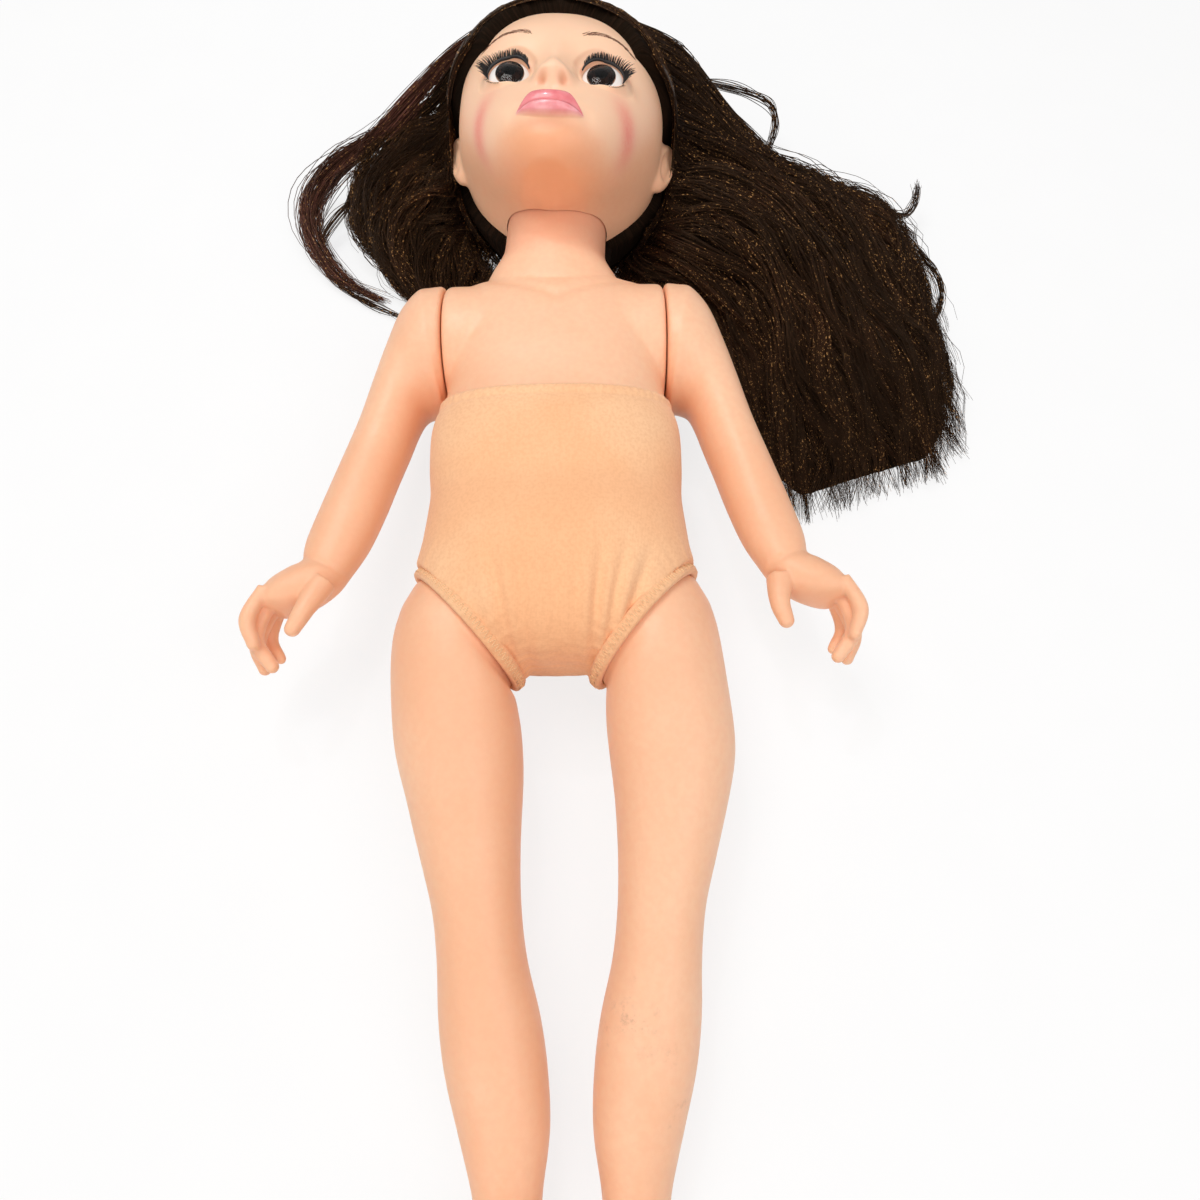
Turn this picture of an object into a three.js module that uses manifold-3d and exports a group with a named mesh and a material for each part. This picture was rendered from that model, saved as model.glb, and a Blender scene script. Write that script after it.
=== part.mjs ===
// Play doll lying on its back: vinyl head, shoulder plate and limbs on a stuffed cloth torso, with long hair.
// Millimetres. +Z up is the doll's front, +Y its head, +X its left hand side. The floor under it is z = 0.
import * as THREE from 'three';
import { mergeVertices } from 'three/addons/utils/BufferGeometryUtils.js';
import Module from 'manifold-3d';

const wasm = await Module();
wasm.setup();

// Clearances and walls
const GAP = 0.3;
const RUNNING_GAP = 0.4;
const VINYL_WALL = 2.5;
const CLOTH = 1.2;
const CLOTH_GAP = 0.4;

// Reach of cuts: past everything, past a wall, and past a thin piece
const SLICE = 400;
const MARGIN = 4;
const TRIM = 1;

// Torso of cloth: where its levels lie along the doll, and how wide and deep it is there
const TORSO_LEVELS = [
  { y: 92, half: 44, back: 3.2, front: 62.8 },
  { y: 79, half: 43.8, back: 2.6, front: 63 },
  { y: 66, half: 47, back: 0.5, front: 64.5 },
  { y: 50, half: 47.2, back: -0.5, front: 64 },
  { y: 36, half: 46.6, back: -0.5, front: 62.5 },
  { y: 18, half: 48, back: -0.5, front: 65 },
  { y: 4, half: 50, back: -0.5, front: 64.5 },
  { y: -10, half: 46, back: 0, front: 61.5 },
  { y: -20, half: 36, back: 3, front: 57 },
  { y: -27, half: 22, back: 10, front: 51 },
  { y: -30, half: 12, back: 17, front: 43 },
];
const TORSO_SQUARENESS = 2.5;
const SIDE_SEAM_Z = 30;
const STUFFING_TOP_Y = 88;
const CLOTH_TOP = { y: 79, z: 33, slope: 0.3 };

// Shoulder plate: its levels above the cloth, its flat round sides and its neck
const PLATE_LEVELS = [
  { y: 108, half: 42.3, back: 6.5, front: 59.8 },
  { y: 120, half: 42, back: 9, front: 57.5 },
  { y: 128, half: 41, back: 12, front: 55.5 },
  { y: 132.5, half: 38, back: 14.5, front: 55 },
  { y: 136, half: 30, back: 16.5, front: 56 },
];
const PLATE_SQUARENESS = 2.8;
const PLATE_SKIRT_END_Y = 58;
const NECK_RADIUS = 20.6;
const NECK_FOOT_Y = 141;
const TIE_GROOVE_Y = 64;
const TIE_DIAMETER = 1.4;

// Neck joint: the head turns on a knob that stands in the neck
const NECK_TOP = new THREE.Vector3(0.8, 168, 38);
const HEAD_LEAN_DEG = 4;
const KNOB_SHAFT_RADIUS = 9.5;
const KNOB_DISC_RADIUS = 15;
const KNOB_DISC_THICKNESS = 2.4;

// Shoulder joints
const SHOULDER = new THREE.Vector3(42.6, 107.5, 33);
const SHOULDER_DISC_RADIUS = 26;
const ARM_SHAFT_RADIUS = 9.6;
const ARM_FLANGE_RADIUS = 12.8;
const ARM_FLANGE_THICKNESS = 2.2;
const ARM_BORE_RADIUS = 6.5;
const SHOULDER_WASHER_RADIUS = 15;
const SHOULDER_WASHER_THICKNESS = 1.2;

// Hip joints: the axis is square to the slanting leg opening
const HIP = new THREE.Vector3(32.6, -11.8, 30);
const HIP_AXIS_DEG = -42.4;
const LEG_TOP_RADIUS = 24.4;
const LEG_GROOVE_RADIUS = 19;
const LEG_FLANGE_RADIUS = 22.5;
const LEG_FLANGE_THICKNESS = 2.6;
const LEG_GROOVE_WIDTH = 3.4;
const LEG_BORE_RADIUS = 15.5;
const HIP_PLUG_THICKNESS = 2;
const HEM_SECTION_RADIUS = 1.25;
const HEM_REACH = 1.6;
const LEG_TIE_DIAMETER = 1.6;
const HIP_SLEEVE = { radius: 26.2, full: 12, foot: 34, taper: 7 };
const LEG_START = -2.55;

// Arm: where its inner and outer outlines run from the shoulder centre, and how deep it is between them
const ARM_RIBS = [
  { inner: [2, -26.2], outer: [12.2, 22.6], deep: 25.4, rise: 0 },
  { inner: [5.4, -27], outer: [19, 12], deep: 22.6, rise: 0 },
  { inner: [8.6, -29.5], outer: [24.4, -3], deep: 18.8, rise: 0 },
  { inner: [11, -36], outer: [28.6, -18], deep: 16.2, rise: 0 },
  { inner: [13.6, -46], outer: [33.2, -36.5], deep: 14.4, rise: 0 },
  { inner: [16.8, -58.5], outer: [39, -57], deep: 13.2, rise: 1 },
  { inner: [20.2, -73], outer: [43.4, -73.5], deep: 12, rise: 2.5 },
  { inner: [24.4, -88], outer: [46.4, -87], deep: 10.4, rise: 4.5 },
  { inner: [29.4, -99], outer: [47, -95.6], deep: 8.8, rise: 6 },
];

// Hand: palm ribs carry on from the wrist; fingers and thumbs are bent rods, all from the shoulder centre
const PALM_RIBS = [
  { inner: [33.4, -106], outer: [50.6, -98.4], deep: 9.4, rise: 7 },
  { inner: [39.6, -111], outer: [56.4, -102.8], deep: 10, rise: 7 },
  { inner: [46.2, -113.6], outer: [60.4, -108.6], deep: 9.6, rise: 6.4 },
];
const FINGERS = [
  { root: [56, -107, 13.4], bend: [60.6, -118, 13], tip: [58.4, -126.4, 10.6], radius: 2.7 },
  { root: [55.6, -109, 8.2], bend: [59.6, -123, 7], tip: [53.6, -132.6, 4.6], radius: 2.8 },
  { root: [56, -109, 2.8], bend: [61.4, -122.6, 0.6], tip: [58.6, -131.6, -1.8], radius: 2.7 },
  { root: [55.6, -108, -2], bend: [59.2, -119, -4.8], tip: [55.6, -126.4, -6.6], radius: 2.4 },
];
const FINGER_TIP = { start: 0.9, past: 0.7, end: 0.55 };
const THUMBS = {
  left: { root: [35, -106, 11], bend: [33.6, -115.6, 13.4], tip: [35.2, -122.2, 13.2], radius: 3.1 },
  right: { root: [37, -105, 12], bend: [41, -115.6, 15], tip: [44.2, -122.8, 15.2], radius: 3.1 },
};

// Leg: where its inner and outer outlines lie, from the doll's middle and the hip centre, and its depth
const LEG_RIBS = [
  { inner: [15.6, -23.4], outer: [54.6, 8], deep: 24.8, level: 30 },
  { inner: [15.1, -27.4], outer: [57, -3], deep: 24, level: 30 },
  { inner: [14.5, -35], outer: [57.8, -20], deep: 22.6, level: 29.6 },
  { inner: [14.6, -47], outer: [57, -42], deep: 21.2, level: 29 },
  { inner: [15.4, -61], outer: [52.6, -60], deep: 19, level: 28 },
  { inner: [15.8, -76], outer: [48, -76], deep: 16.8, level: 27 },
  { inner: [15.2, -92], outer: [43.4, -92], deep: 14.8, level: 26.4 },
  { inner: [13.2, -107], outer: [41.4, -107], deep: 14.6, level: 25 },
  { inner: [9.2, -123], outer: [40.6, -123], deep: 15.8, level: 22.4 },
  { inner: [7, -138], outer: [38.4, -138], deep: 15.8, level: 20 },
  { inner: [6.4, -154], outer: [34, -154], deep: 13.6, level: 18 },
];
// Ankle: the same, but its place is its height over the sole
const ANKLE_RIBS = [
  { inner: 8.6, outer: 29.6, up: 26.2, deep: 10.8, level: 16 },
  { inner: 9, outer: 28.4, up: 16.2, deep: 10.6, level: 15 },
  { inner: 9.4, outer: 28, up: 10.2, deep: 10.6, level: 15 },
];
const LEG_SHIFT = 3.8;
const LEG_SHIFT_OVER = 60;
const SOLE_Y = -208;
const FOOT_CENTRE_X = 18.8;
const FOOT_LEVELS = [
  { z: 1, half: 6, tall: 12 },
  { z: 6.5, half: 9, tall: 20 },
  { z: 16, half: 10.2, tall: 24 },
  { z: 26, half: 10.4, tall: 21 },
  { z: 38, half: 11.4, tall: 15.5 },
  { z: 50, half: 12, tall: 12.4 },
  { z: 58, half: 10.4, tall: 10.4 },
  { z: 63, half: 6, tall: 6.6 },
];
const FOOT_CUT = 1.2;

// Head: its levels above the neck's top, in the leaning frame that stands there
const HEAD_LEVELS = [
  { up: -18.6, half: 13, back: -8, front: 47.5 },
  { up: -15.5, half: 18.5, back: -14, front: 51.5 },
  { up: -10, half: 25, back: -20, front: 54.5 },
  { up: -2, half: 31.5, back: -25, front: 56 },
  { up: 8, half: 37, back: -28.5, front: 54.5 },
  { up: 20, half: 41.2, back: -30.5, front: 54 },
  { up: 32, half: 42.4, back: -31.5, front: 56 },
  { up: 44, half: 42, back: -30.5, front: 55.5 },
  { up: 57, half: 38.4, back: -25, front: 50.5 },
  { up: 67, half: 31.4, back: -15, front: 41.5 },
  { up: 75, half: 19.5, back: -2, front: 29 },
  { up: 78.6, half: 8, back: 8, front: 19 },
];
const HEAD_MIDDLE_Z = 12;
const HEAD_SQUARENESS = 2.35;

// How far the head's base is raised below the jaw's corners and at the nape; the chin stays where it is
const JAW_RISE = { corner: 9, nape: 3, chinZ: 48, cornerZ: 10, napeZ: -24, goneUp: 22 };
const EAR ={ x: 41.5, up: 20.5, z: 10, thick: 5, tall: 12.4, deep: 7.4 };
const NOSE = { up: 12.5, z: 54.6, half: 4.6, tall: 7, deep: 6.4 };
const LIPS = { up: -2, z: 54.2, half: 11.8, tall: 3, deep: 4.2, apart: 4.2 };
const EYE_SPACING = 36;
const EYE_UP = 24;
const EYE_FRONT_Z = 50.6;
const EYE_RADIUS = 9;
const EYE_DEEP = 10;
const EYE_SLOT = { half: 7.6, tall: 5.4 };
const SOCKET_WALL = 2.2;
const IRIS_RADIUS = 4.7;
const IRIS_THICKNESS = 0.9;
const LENS_DOME = 1.9;
const LENS_OUTLINE = [[1, 0], [0.72, 0.55], [0.38, 0.9], [0, 1]];
const EYE_CAP_THICKNESS = 1.2;
const LASH = { half: 8.4, rise: 5, arch: 1.5, ahead: 1.6, wrap: 2.2, tilt: 1.6, reach: 3.6, thick: 0.7 };

// Hair on the head, and the locks that lie on the floor
const HAIR_THICK = 7.5;
const HAIR_LINE = { half: 36, top: 53, z: 6 };
const HAIR_NAPE_UP = -20;
const HAIR_EAR_GAP = 3;
const HAIR_NECK_GAP = 1.5;
const HAIR_LOBES = [
  {
    side: 'left',
    outline: [[36, 250], [58, 254], [74, 248], [86, 235], [106, 225], [138, 213], [160, 197], [168, 178],
      [168, 150], [170, 120], [171, 92], [160, 62], [130, 49], [100, 43], [86, 62], [83, 100], [77, 126],
      [58, 145], [36, 158]],
    cuts: [193, 137],
    fall: { centre: [0, 200], near: 50, far: 185, loses: 0.72 },
    names: ['hair_left_upper', 'hair_left_middle', 'hair_left_lower'],
  },
  {
    side: 'right',
    outline: [[-36, 244], [-62, 248], [-84, 243], [-105, 230], [-120, 211], [-117, 190], [-99, 169],
      [-78, 155], [-58, 150], [-42, 150], [-34, 162]],
    cuts: [200],
    fall: { centre: [-40, 225], near: 28, far: 84, loses: 0.8 },
    names: ['hair_right_upper', 'hair_right_lower'],
  },
];
const LOBE_HEIGHT = 44;
const LOBE_LAYERS = [[0.96, 0], [1, 0.28], [0.9, 0.7], [0.6, 1]];
const LOBE_POINTS = 30;

// How far the limbs' sections are from an ellipse (2) towards a box
const LIMB_SQUARENESS = 2.1;
const FOOT_SQUARENESS = 2.4;

// Mesh steps round and along the forms
const ROUND = 20;
const LIMB_ROUND = 16;
const FINGER_ROUND = 6;
const LATHE_ROUND = 18;
const INNER_ROUND = 12;
const EGG_ROUND = 12;
const EGG_BANDS = 0.6;
const HEM_SIDES = 6;
const TIE_SIDES = 5;
const LASH_STEPS = 8;
const EYE_STEPS = 3;

// Turns a closed three.js geometry into a solid
function solid(geometry) {
  const bare = geometry.clone();
  bare.deleteAttribute('normal');
  bare.deleteAttribute('uv');
  const merged = mergeVertices(bare, 1e-4);
  const vertProperties = new Float32Array(merged.attributes.position.array);
  const triVerts = new Uint32Array(merged.index.array);
  return new wasm.Manifold(new wasm.Mesh({ numProp: 3, vertProperties, triVerts }));
}

// Turns a solid back into a geometry
function geometryOf(body) {
  const mesh = body.getMesh();
  const geometry = new THREE.BufferGeometry();
  geometry.setAttribute('position', new THREE.BufferAttribute(new Float32Array(mesh.vertProperties), 3));
  geometry.setIndex(new THREE.BufferAttribute(new Uint32Array(mesh.triVerts), 1));
  geometry.computeVertexNormals();
  return geometry;
}

// A closed skin through rings of as many points each, with a fan over both ends
function loft(rings) {
  const count = rings[0].length;
  const points = rings.flat();
  const index = [];
  for (let i = 0; i < rings.length - 1; i += 1) {
    for (let j = 0; j < count; j += 1) {
      const next = (j + 1) % count;
      index.push(i * count + j, i * count + next, (i + 1) * count + next);
      index.push(i * count + j, (i + 1) * count + next, (i + 1) * count + j);
    }
  }
  const middle = (ring) => ring.reduce((sum, p) => sum.add(p), new THREE.Vector3()).divideScalar(count);
  const first = points.push(middle(rings[0])) - 1;
  const last = points.push(middle(rings[rings.length - 1])) - 1;
  const base = (rings.length - 1) * count;
  for (let j = 0; j < count; j += 1) {
    const next = (j + 1) % count;
    index.push(first, next, j);
    index.push(last, base + j, base + next);
  }
  const geometry = new THREE.BufferGeometry().setFromPoints(points);
  geometry.setIndex(facingOut(points, index));
  return geometry;
}

// Turns the faces round if they enclose a negative volume
function facingOut(points, index) {
  const cross = new THREE.Vector3();
  let volume = 0;
  for (let i = 0; i < index.length; i += 3) {
    cross.crossVectors(points[index[i + 1]], points[index[i + 2]]);
    volume += points[index[i]].dot(cross);
  }
  return volume < 0 ? index.slice().reverse() : index;
}

// A ring round a centre, drawn between an ellipse (squareness 2) and a box (higher)
function ring(count, squareness, place) {
  const points = [];
  for (let j = 0; j < count; j += 1) {
    const angle = (j / count) * 2 * Math.PI;
    const c = Math.cos(angle);
    const s = Math.sin(angle);
    const power = 2 / squareness;
    points.push(place(Math.sign(c) * Math.abs(c) ** power, Math.sign(s) * Math.abs(s) ** power));
  }
  return points;
}

// A level ring across the torso or the plate, drawn in by an inset
function levelRing(level, squareness, inset, count = ROUND) {
  const middle = (level.back + level.front) / 2;
  const deep = (level.front - level.back) / 2 - inset;
  const half = level.half - inset;
  return ring(count, squareness, (c, s) => new THREE.Vector3(c * half, level.y, middle + s * deep));
}

// The torso's level at any place along the doll, between the two levels that lie next to it
function torsoLevel(y) {
  const last = TORSO_LEVELS.length - 1;
  const below = TORSO_LEVELS.findIndex((level) => level.y <= y);
  const i = below < 0 ? last : Math.max(below, 1);
  const a = TORSO_LEVELS[i - 1];
  const b = TORSO_LEVELS[i];
  const t = (y - a.y) / (b.y - a.y);
  const mix = (key) => THREE.MathUtils.lerp(a[key], b[key], t);
  return { y, half: mix('half'), back: mix('back'), front: mix('front') };
}

// A body of revolution round local +Y from a closed profile of radius and height
function turned(profile, round = LATHE_ROUND) {
  const points = profile.map(([r, h]) => new THREE.Vector2(r, h));
  return solid(new THREE.LatheGeometry([...points, points[0].clone()], round));
}

// Moves a solid by a matrix
function moved(body, matrix) {
  return body.transform(matrix.elements);
}

// The frame whose +Y is a joint's axis at its centre
function axisFrame(centre, axis) {
  const turn = new THREE.Quaternion().setFromUnitVectors(new THREE.Vector3(0, 1, 0), axis.clone().normalize());
  return new THREE.Matrix4().compose(centre, turn, new THREE.Vector3(1, 1, 1));
}

// A plain cylinder along +Y between two heights
function cylinder(radius, low, high, round = LATHE_ROUND) {
  const geometry = new THREE.CylinderGeometry(radius, radius, high - low, round);
  geometry.translate(0, (low + high) / 2, 0);
  return solid(geometry);
}

// A box between two corners
function block(low, high) {
  const geometry = new THREE.BoxGeometry(high[0] - low[0], high[1] - low[1], high[2] - low[2]);
  geometry.translate((low[0] + high[0]) / 2, (low[1] + high[1]) / 2, (low[2] + high[2]) / 2);
  return solid(geometry);
}

// An egg: a sphere drawn out along its three directions
function egg(centre, radii, round = EGG_ROUND) {
  const geometry = new THREE.SphereGeometry(1, round, Math.round(round * EGG_BANDS));
  geometry.scale(...radii);
  geometry.translate(...centre);
  return solid(geometry);
}

// A rod with a round end, bent once between its root and its tip
function bentRod({ root, bend, tip, radius }, mirror) {
  const [a, b, c] = [root, bend, tip].map(([x, y, z]) => new THREE.Vector3(mirror * x, y, z));
  const first = b.clone().sub(a).normalize();
  const second = c.clone().sub(b).normalize();
  const past = c.clone().addScaledVector(second, radius * FINGER_TIP.past);
  const stations = [
    { at: a, along: first, size: radius },
    { at: b, along: first.clone().add(second).normalize(), size: radius },
    { at: c, along: second, size: radius * FINGER_TIP.start },
    { at: past, along: second, size: radius * FINGER_TIP.end },
  ];
  const side = new THREE.Vector3(0, 0, 1);
  return solid(loft(stations.map(({ at, along, size }) => {
    const u = new THREE.Vector3().crossVectors(along, side).normalize();
    const v = new THREE.Vector3().crossVectors(u, along).normalize();
    const point = (c1, s1) => at.clone().addScaledVector(u, c1 * size).addScaledVector(v, s1 * size);
    return ring(FINGER_ROUND, 2, point);
  })));
}

// Names, colours and groups
const doll = new THREE.Group();
const headGroup = new THREE.Group();
const FINISH = {
  vinyl: { color: '#f2bd98', roughness: 0.5, metalness: 0 },
  cloth: { color: '#f5c295', roughness: 0.9, metalness: 0 },
  stuffing: { color: '#f4f1ea', roughness: 1, metalness: 0 },
  cord: { color: '#e9dfcf', roughness: 0.8, metalness: 0 },
  plastic: { color: '#e4e0d6', roughness: 0.45, metalness: 0 },
  eyeWhite: { color: '#f6f4f0', roughness: 0.2, metalness: 0 },
  iris: { color: '#1d120e', roughness: 0.2, metalness: 0 },
  lens: { color: '#ffffff', roughness: 0.03, metalness: 0 },
  lash: { color: '#120d0b', roughness: 0.6, metalness: 0 },
  hair: { color: '#2a1811', roughness: 0.5, metalness: 0 },
};

function place(name, body, finish, group = doll) {
  const mesh = new THREE.Mesh(geometryOf(body), new THREE.MeshStandardMaterial(FINISH[finish]));
  mesh.name = name;
  group.add(mesh);
}

const SIDES = [
  { name: 'left', mirror: 1 },
  { name: 'right', mirror: -1 },
];
const floorBlock = block([-SLICE, -SLICE, 0], [SLICE, SLICE, SLICE]);

// Hip frames: +Y runs out of the body along the joint's axis
function hipFrame(mirror) {
  const angle = THREE.MathUtils.degToRad(HIP_AXIS_DEG);
  const axis = new THREE.Vector3(mirror * Math.cos(angle), Math.sin(angle), 0);
  return axisFrame(new THREE.Vector3(mirror * HIP.x, HIP.y, HIP.z), axis);
}
const GROOVE_START = LEG_START - LEG_GROOVE_WIDTH;
const FLANGE_START = GROOVE_START - LEG_FLANGE_THICKNESS;
const CLOTH_END = LEG_START - CLOTH_GAP;

const underCloth = CLOTH + CLOTH_GAP;

// Torso: everything inside an inset of the cloth's outer form, as far as a plane before each leg
function torsoForm(inset, top, hipEnd) {
  const low = TORSO_LEVELS[TORSO_LEVELS.length - 1].y + inset;
  const levels = [torsoLevel(top)];
  levels.push(...TORSO_LEVELS.filter((level) => level.y < top - 1 && level.y > low + 1));
  levels.push(torsoLevel(low));
  let form = solid(loft(levels.map((level) => levelRing(level, TORSO_SQUARENESS, inset))));
  for (const { mirror } of SIDES) {
    const frame = hipFrame(mirror);
    const radius = HIP_SLEEVE.radius - inset;
    const sleeve = turned([[0, -HIP_SLEEVE.foot], [radius - HIP_SLEEVE.taper, -HIP_SLEEVE.foot],
      [radius, -HIP_SLEEVE.full], [radius, 0], [0, 0]]);
    form = form.add(moved(sleeve, frame));
    form = form.subtract(moved(block([-SLICE, hipEnd, -SLICE], [SLICE, SLICE, SLICE]), frame));
  }
  return form;
}

// Shoulder plate form at an inset: under the cloth and above it, the neck, and the flat round sides
function plateForm(inset, low, neckTop) {
  const skirt = [torsoLevel(low)];
  skirt.push(...TORSO_LEVELS.filter((level) => level.y > low + 1).reverse());
  const count = inset ? INNER_ROUND : ROUND;
  const rings = skirt.map((level) => levelRing(level, TORSO_SQUARENESS, underCloth + inset, count));
  rings.push(...PLATE_LEVELS.map((level) => levelRing(level, PLATE_SQUARENESS, inset, count)));
  const lean = THREE.MathUtils.degToRad(HEAD_LEAN_DEG);
  for (const y of [NECK_FOOT_Y, (NECK_FOOT_Y + NECK_TOP.y) / 2, neckTop]) {
    const radius = NECK_RADIUS - inset;
    const shift = NECK_TOP.x + (y - NECK_TOP.y) * Math.tan(lean);
    rings.push(ring(count, 2, (c, s) => new THREE.Vector3(
      shift + c * radius, y - c * radius * Math.sin(lean), NECK_TOP.z + s * radius)));
  }
  const side = SHOULDER.x - inset;
  const barrel = cylinder(SHOULDER_DISC_RADIUS - inset, -side, side);
  const frame = axisFrame(new THREE.Vector3(0, SHOULDER.y, SHOULDER.z), new THREE.Vector3(1, 0, 0));
  return solid(loft(rings)).add(moved(barrel, frame));
}

const neckFrame = new THREE.Matrix4().makeRotationZ(-THREE.MathUtils.degToRad(HEAD_LEAN_DEG));
neckFrame.setPosition(NECK_TOP);
let plate = plateForm(0, PLATE_SKIRT_END_Y, NECK_TOP.y);
plate = plate.subtract(plateForm(VINYL_WALL, PLATE_SKIRT_END_Y - TRIM, NECK_TOP.y - VINYL_WALL));
plate = plate.subtract(moved(cylinder(KNOB_SHAFT_RADIUS + GAP, -VINYL_WALL - MARGIN, MARGIN), neckFrame));
for (const { mirror } of SIDES) {
  const centre = new THREE.Vector3(mirror * SHOULDER.x, SHOULDER.y, SHOULDER.z);
  const frame = axisFrame(centre, new THREE.Vector3(mirror, 0, 0));
  plate = plate.subtract(moved(cylinder(ARM_SHAFT_RADIUS + RUNNING_GAP, -VINYL_WALL - MARGIN, MARGIN), frame));
}

// The groove for the tie, and the tie in it
function skirtBand(inset, low, high) {
  const rings = [low, high].map((y) => levelRing(torsoLevel(y), TORSO_SQUARENESS, inset));
  return solid(loft(rings));
}
const tieLow = TIE_GROOVE_Y - TIE_DIAMETER / 2;
const tieHigh = TIE_GROOVE_Y + TIE_DIAMETER / 2;
const grooveInset = underCloth + TIE_DIAMETER + GAP;
const grooveBand = skirtBand(0, tieLow - GAP, tieHigh + GAP)
  .subtract(skirtBand(grooveInset, tieLow - TRIM, tieHigh + TRIM));
plate = plate.subtract(grooveBand);
place('shoulder_plate', plate.intersect(floorBlock), 'vinyl');
const tie = skirtBand(underCloth, tieLow, tieHigh)
  .subtract(skirtBand(underCloth + TIE_DIAMETER, tieLow - TRIM, tieHigh + TRIM));
place('body_tie_cord', tie, 'cord');

// Cloth torso: a hollow skin with a mouth at the plate and at each leg, in a front and a back panel
const clothReach = TORSO_LEVELS[0].y;
let cloth = torsoForm(0, clothReach, CLOTH_END);
cloth = cloth.subtract(torsoForm(CLOTH, clothReach, CLOTH_END - CLOTH));
const topCut = new THREE.Matrix4().makeRotationX(Math.atan(CLOTH_TOP.slope));
topCut.setPosition(0, CLOTH_TOP.y, CLOTH_TOP.z);
cloth = cloth.subtract(moved(block([-SLICE, 0, -SLICE], [SLICE, SLICE, SLICE]), topCut));
for (const { mirror } of SIDES) {
  const hole = cylinder(LEG_GROOVE_RADIUS + LEG_TIE_DIAMETER + 2 * GAP, CLOTH_END - MARGIN, MARGIN);
  cloth = cloth.subtract(moved(hole, hipFrame(mirror)));
}
cloth = cloth.intersect(floorBlock);
const frontHalf = block([-SLICE, -SLICE, SIDE_SEAM_Z + GAP / 2], [SLICE, SLICE, SLICE]);
const backHalf = block([-SLICE, -SLICE, -SLICE], [SLICE, SLICE, SIDE_SEAM_Z - GAP / 2]);
place('cloth_body_front', cloth.intersect(frontHalf), 'cloth');
place('cloth_body_back', cloth.intersect(backHalf), 'cloth');

// Stuffing: fills the cloth, and reaches up into the plate
const stuffingEnd = FLANGE_START - 2 * GAP;
const stuffingInset = underCloth + VINYL_WALL + GAP;
const stuffingLevels = [PLATE_SKIRT_END_Y - MARGIN, TORSO_LEVELS[2].y, TORSO_LEVELS[1].y, STUFFING_TOP_Y];
const upperStuffing = solid(loft(stuffingLevels.map((y) => levelRing(torsoLevel(y), TORSO_SQUARENESS,
  stuffingInset, INNER_ROUND))));
let stuffing = torsoForm(CLOTH + GAP, PLATE_SKIRT_END_Y - 2 * GAP, stuffingEnd).add(upperStuffing);
stuffing = stuffing.intersect(block([-SLICE, -SLICE, CLOTH + GAP], [SLICE, STUFFING_TOP_Y, SLICE]));
place('body_stuffing', stuffing, 'stuffing');

// Neck knob: holds the head's floor against the neck's top wall, and lets it turn
const headFloorLow = GAP;
const headFloorHigh = GAP + VINYL_WALL;
const knobTop = headFloorHigh + GAP;
const knobLow = -VINYL_WALL - GAP;
const knob = turned([
  [0, knobLow - KNOB_DISC_THICKNESS], [KNOB_DISC_RADIUS, knobLow - KNOB_DISC_THICKNESS],
  [KNOB_DISC_RADIUS, knobLow], [KNOB_SHAFT_RADIUS, knobLow], [KNOB_SHAFT_RADIUS, knobTop],
  [KNOB_DISC_RADIUS, knobTop],
  [KNOB_DISC_RADIUS, knobTop + KNOB_DISC_THICKNESS], [0, knobTop + KNOB_DISC_THICKNESS],
]);
place('neck_knob', moved(knob, neckFrame), 'plastic');

// Arms: a hollow shell with its shaft and flange through the plate's side
function ribRing(rib, mirror, inset, middle) {
  const inner = new THREE.Vector3(mirror * (middle.x + rib.inner[0]), middle.y + rib.inner[1], 0);
  const outer = new THREE.Vector3(mirror * (middle.x + rib.outer[0]), middle.y + rib.outer[1], 0);
  const centre = inner.clone().add(outer).multiplyScalar(0.5);
  const half = outer.clone().sub(inner).multiplyScalar(0.5);
  half.setLength(half.length() - inset);
  const level = rib.level ?? middle.z + rib.rise;
  const deep = rib.deep - inset;
  const count = inset ? INNER_ROUND : LIMB_ROUND;
  return ring(count, LIMB_SQUARENESS, (c, s) => new THREE.Vector3(
    centre.x + c * half.x, centre.y + c * half.y, level + s * deep));
}

// The turned disc that starts a limb, its points running round as the ribs' points do
function limbStart(centre, across, radius, count) {
  return ring(count, 2, (c, s) => new THREE.Vector3(
    centre.x + c * across.x * radius, centre.y + c * across.y * radius, centre.z + s * radius));
}

function armForm(mirror, inset, start) {
  const across = new THREE.Vector3(0, 1, 0);
  const centre = new THREE.Vector3(mirror * (SHOULDER.x + start), SHOULDER.y, SHOULDER.z);
  const rings = [limbStart(centre, across, SHOULDER_DISC_RADIUS - inset, inset ? INNER_ROUND : LIMB_ROUND)];
  const ribs = inset ? ARM_RIBS : [...ARM_RIBS, ...PALM_RIBS];
  rings.push(...ribs.map((rib) => ribRing(rib, mirror, inset, SHOULDER)));
  return solid(loft(rings));
}

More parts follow.
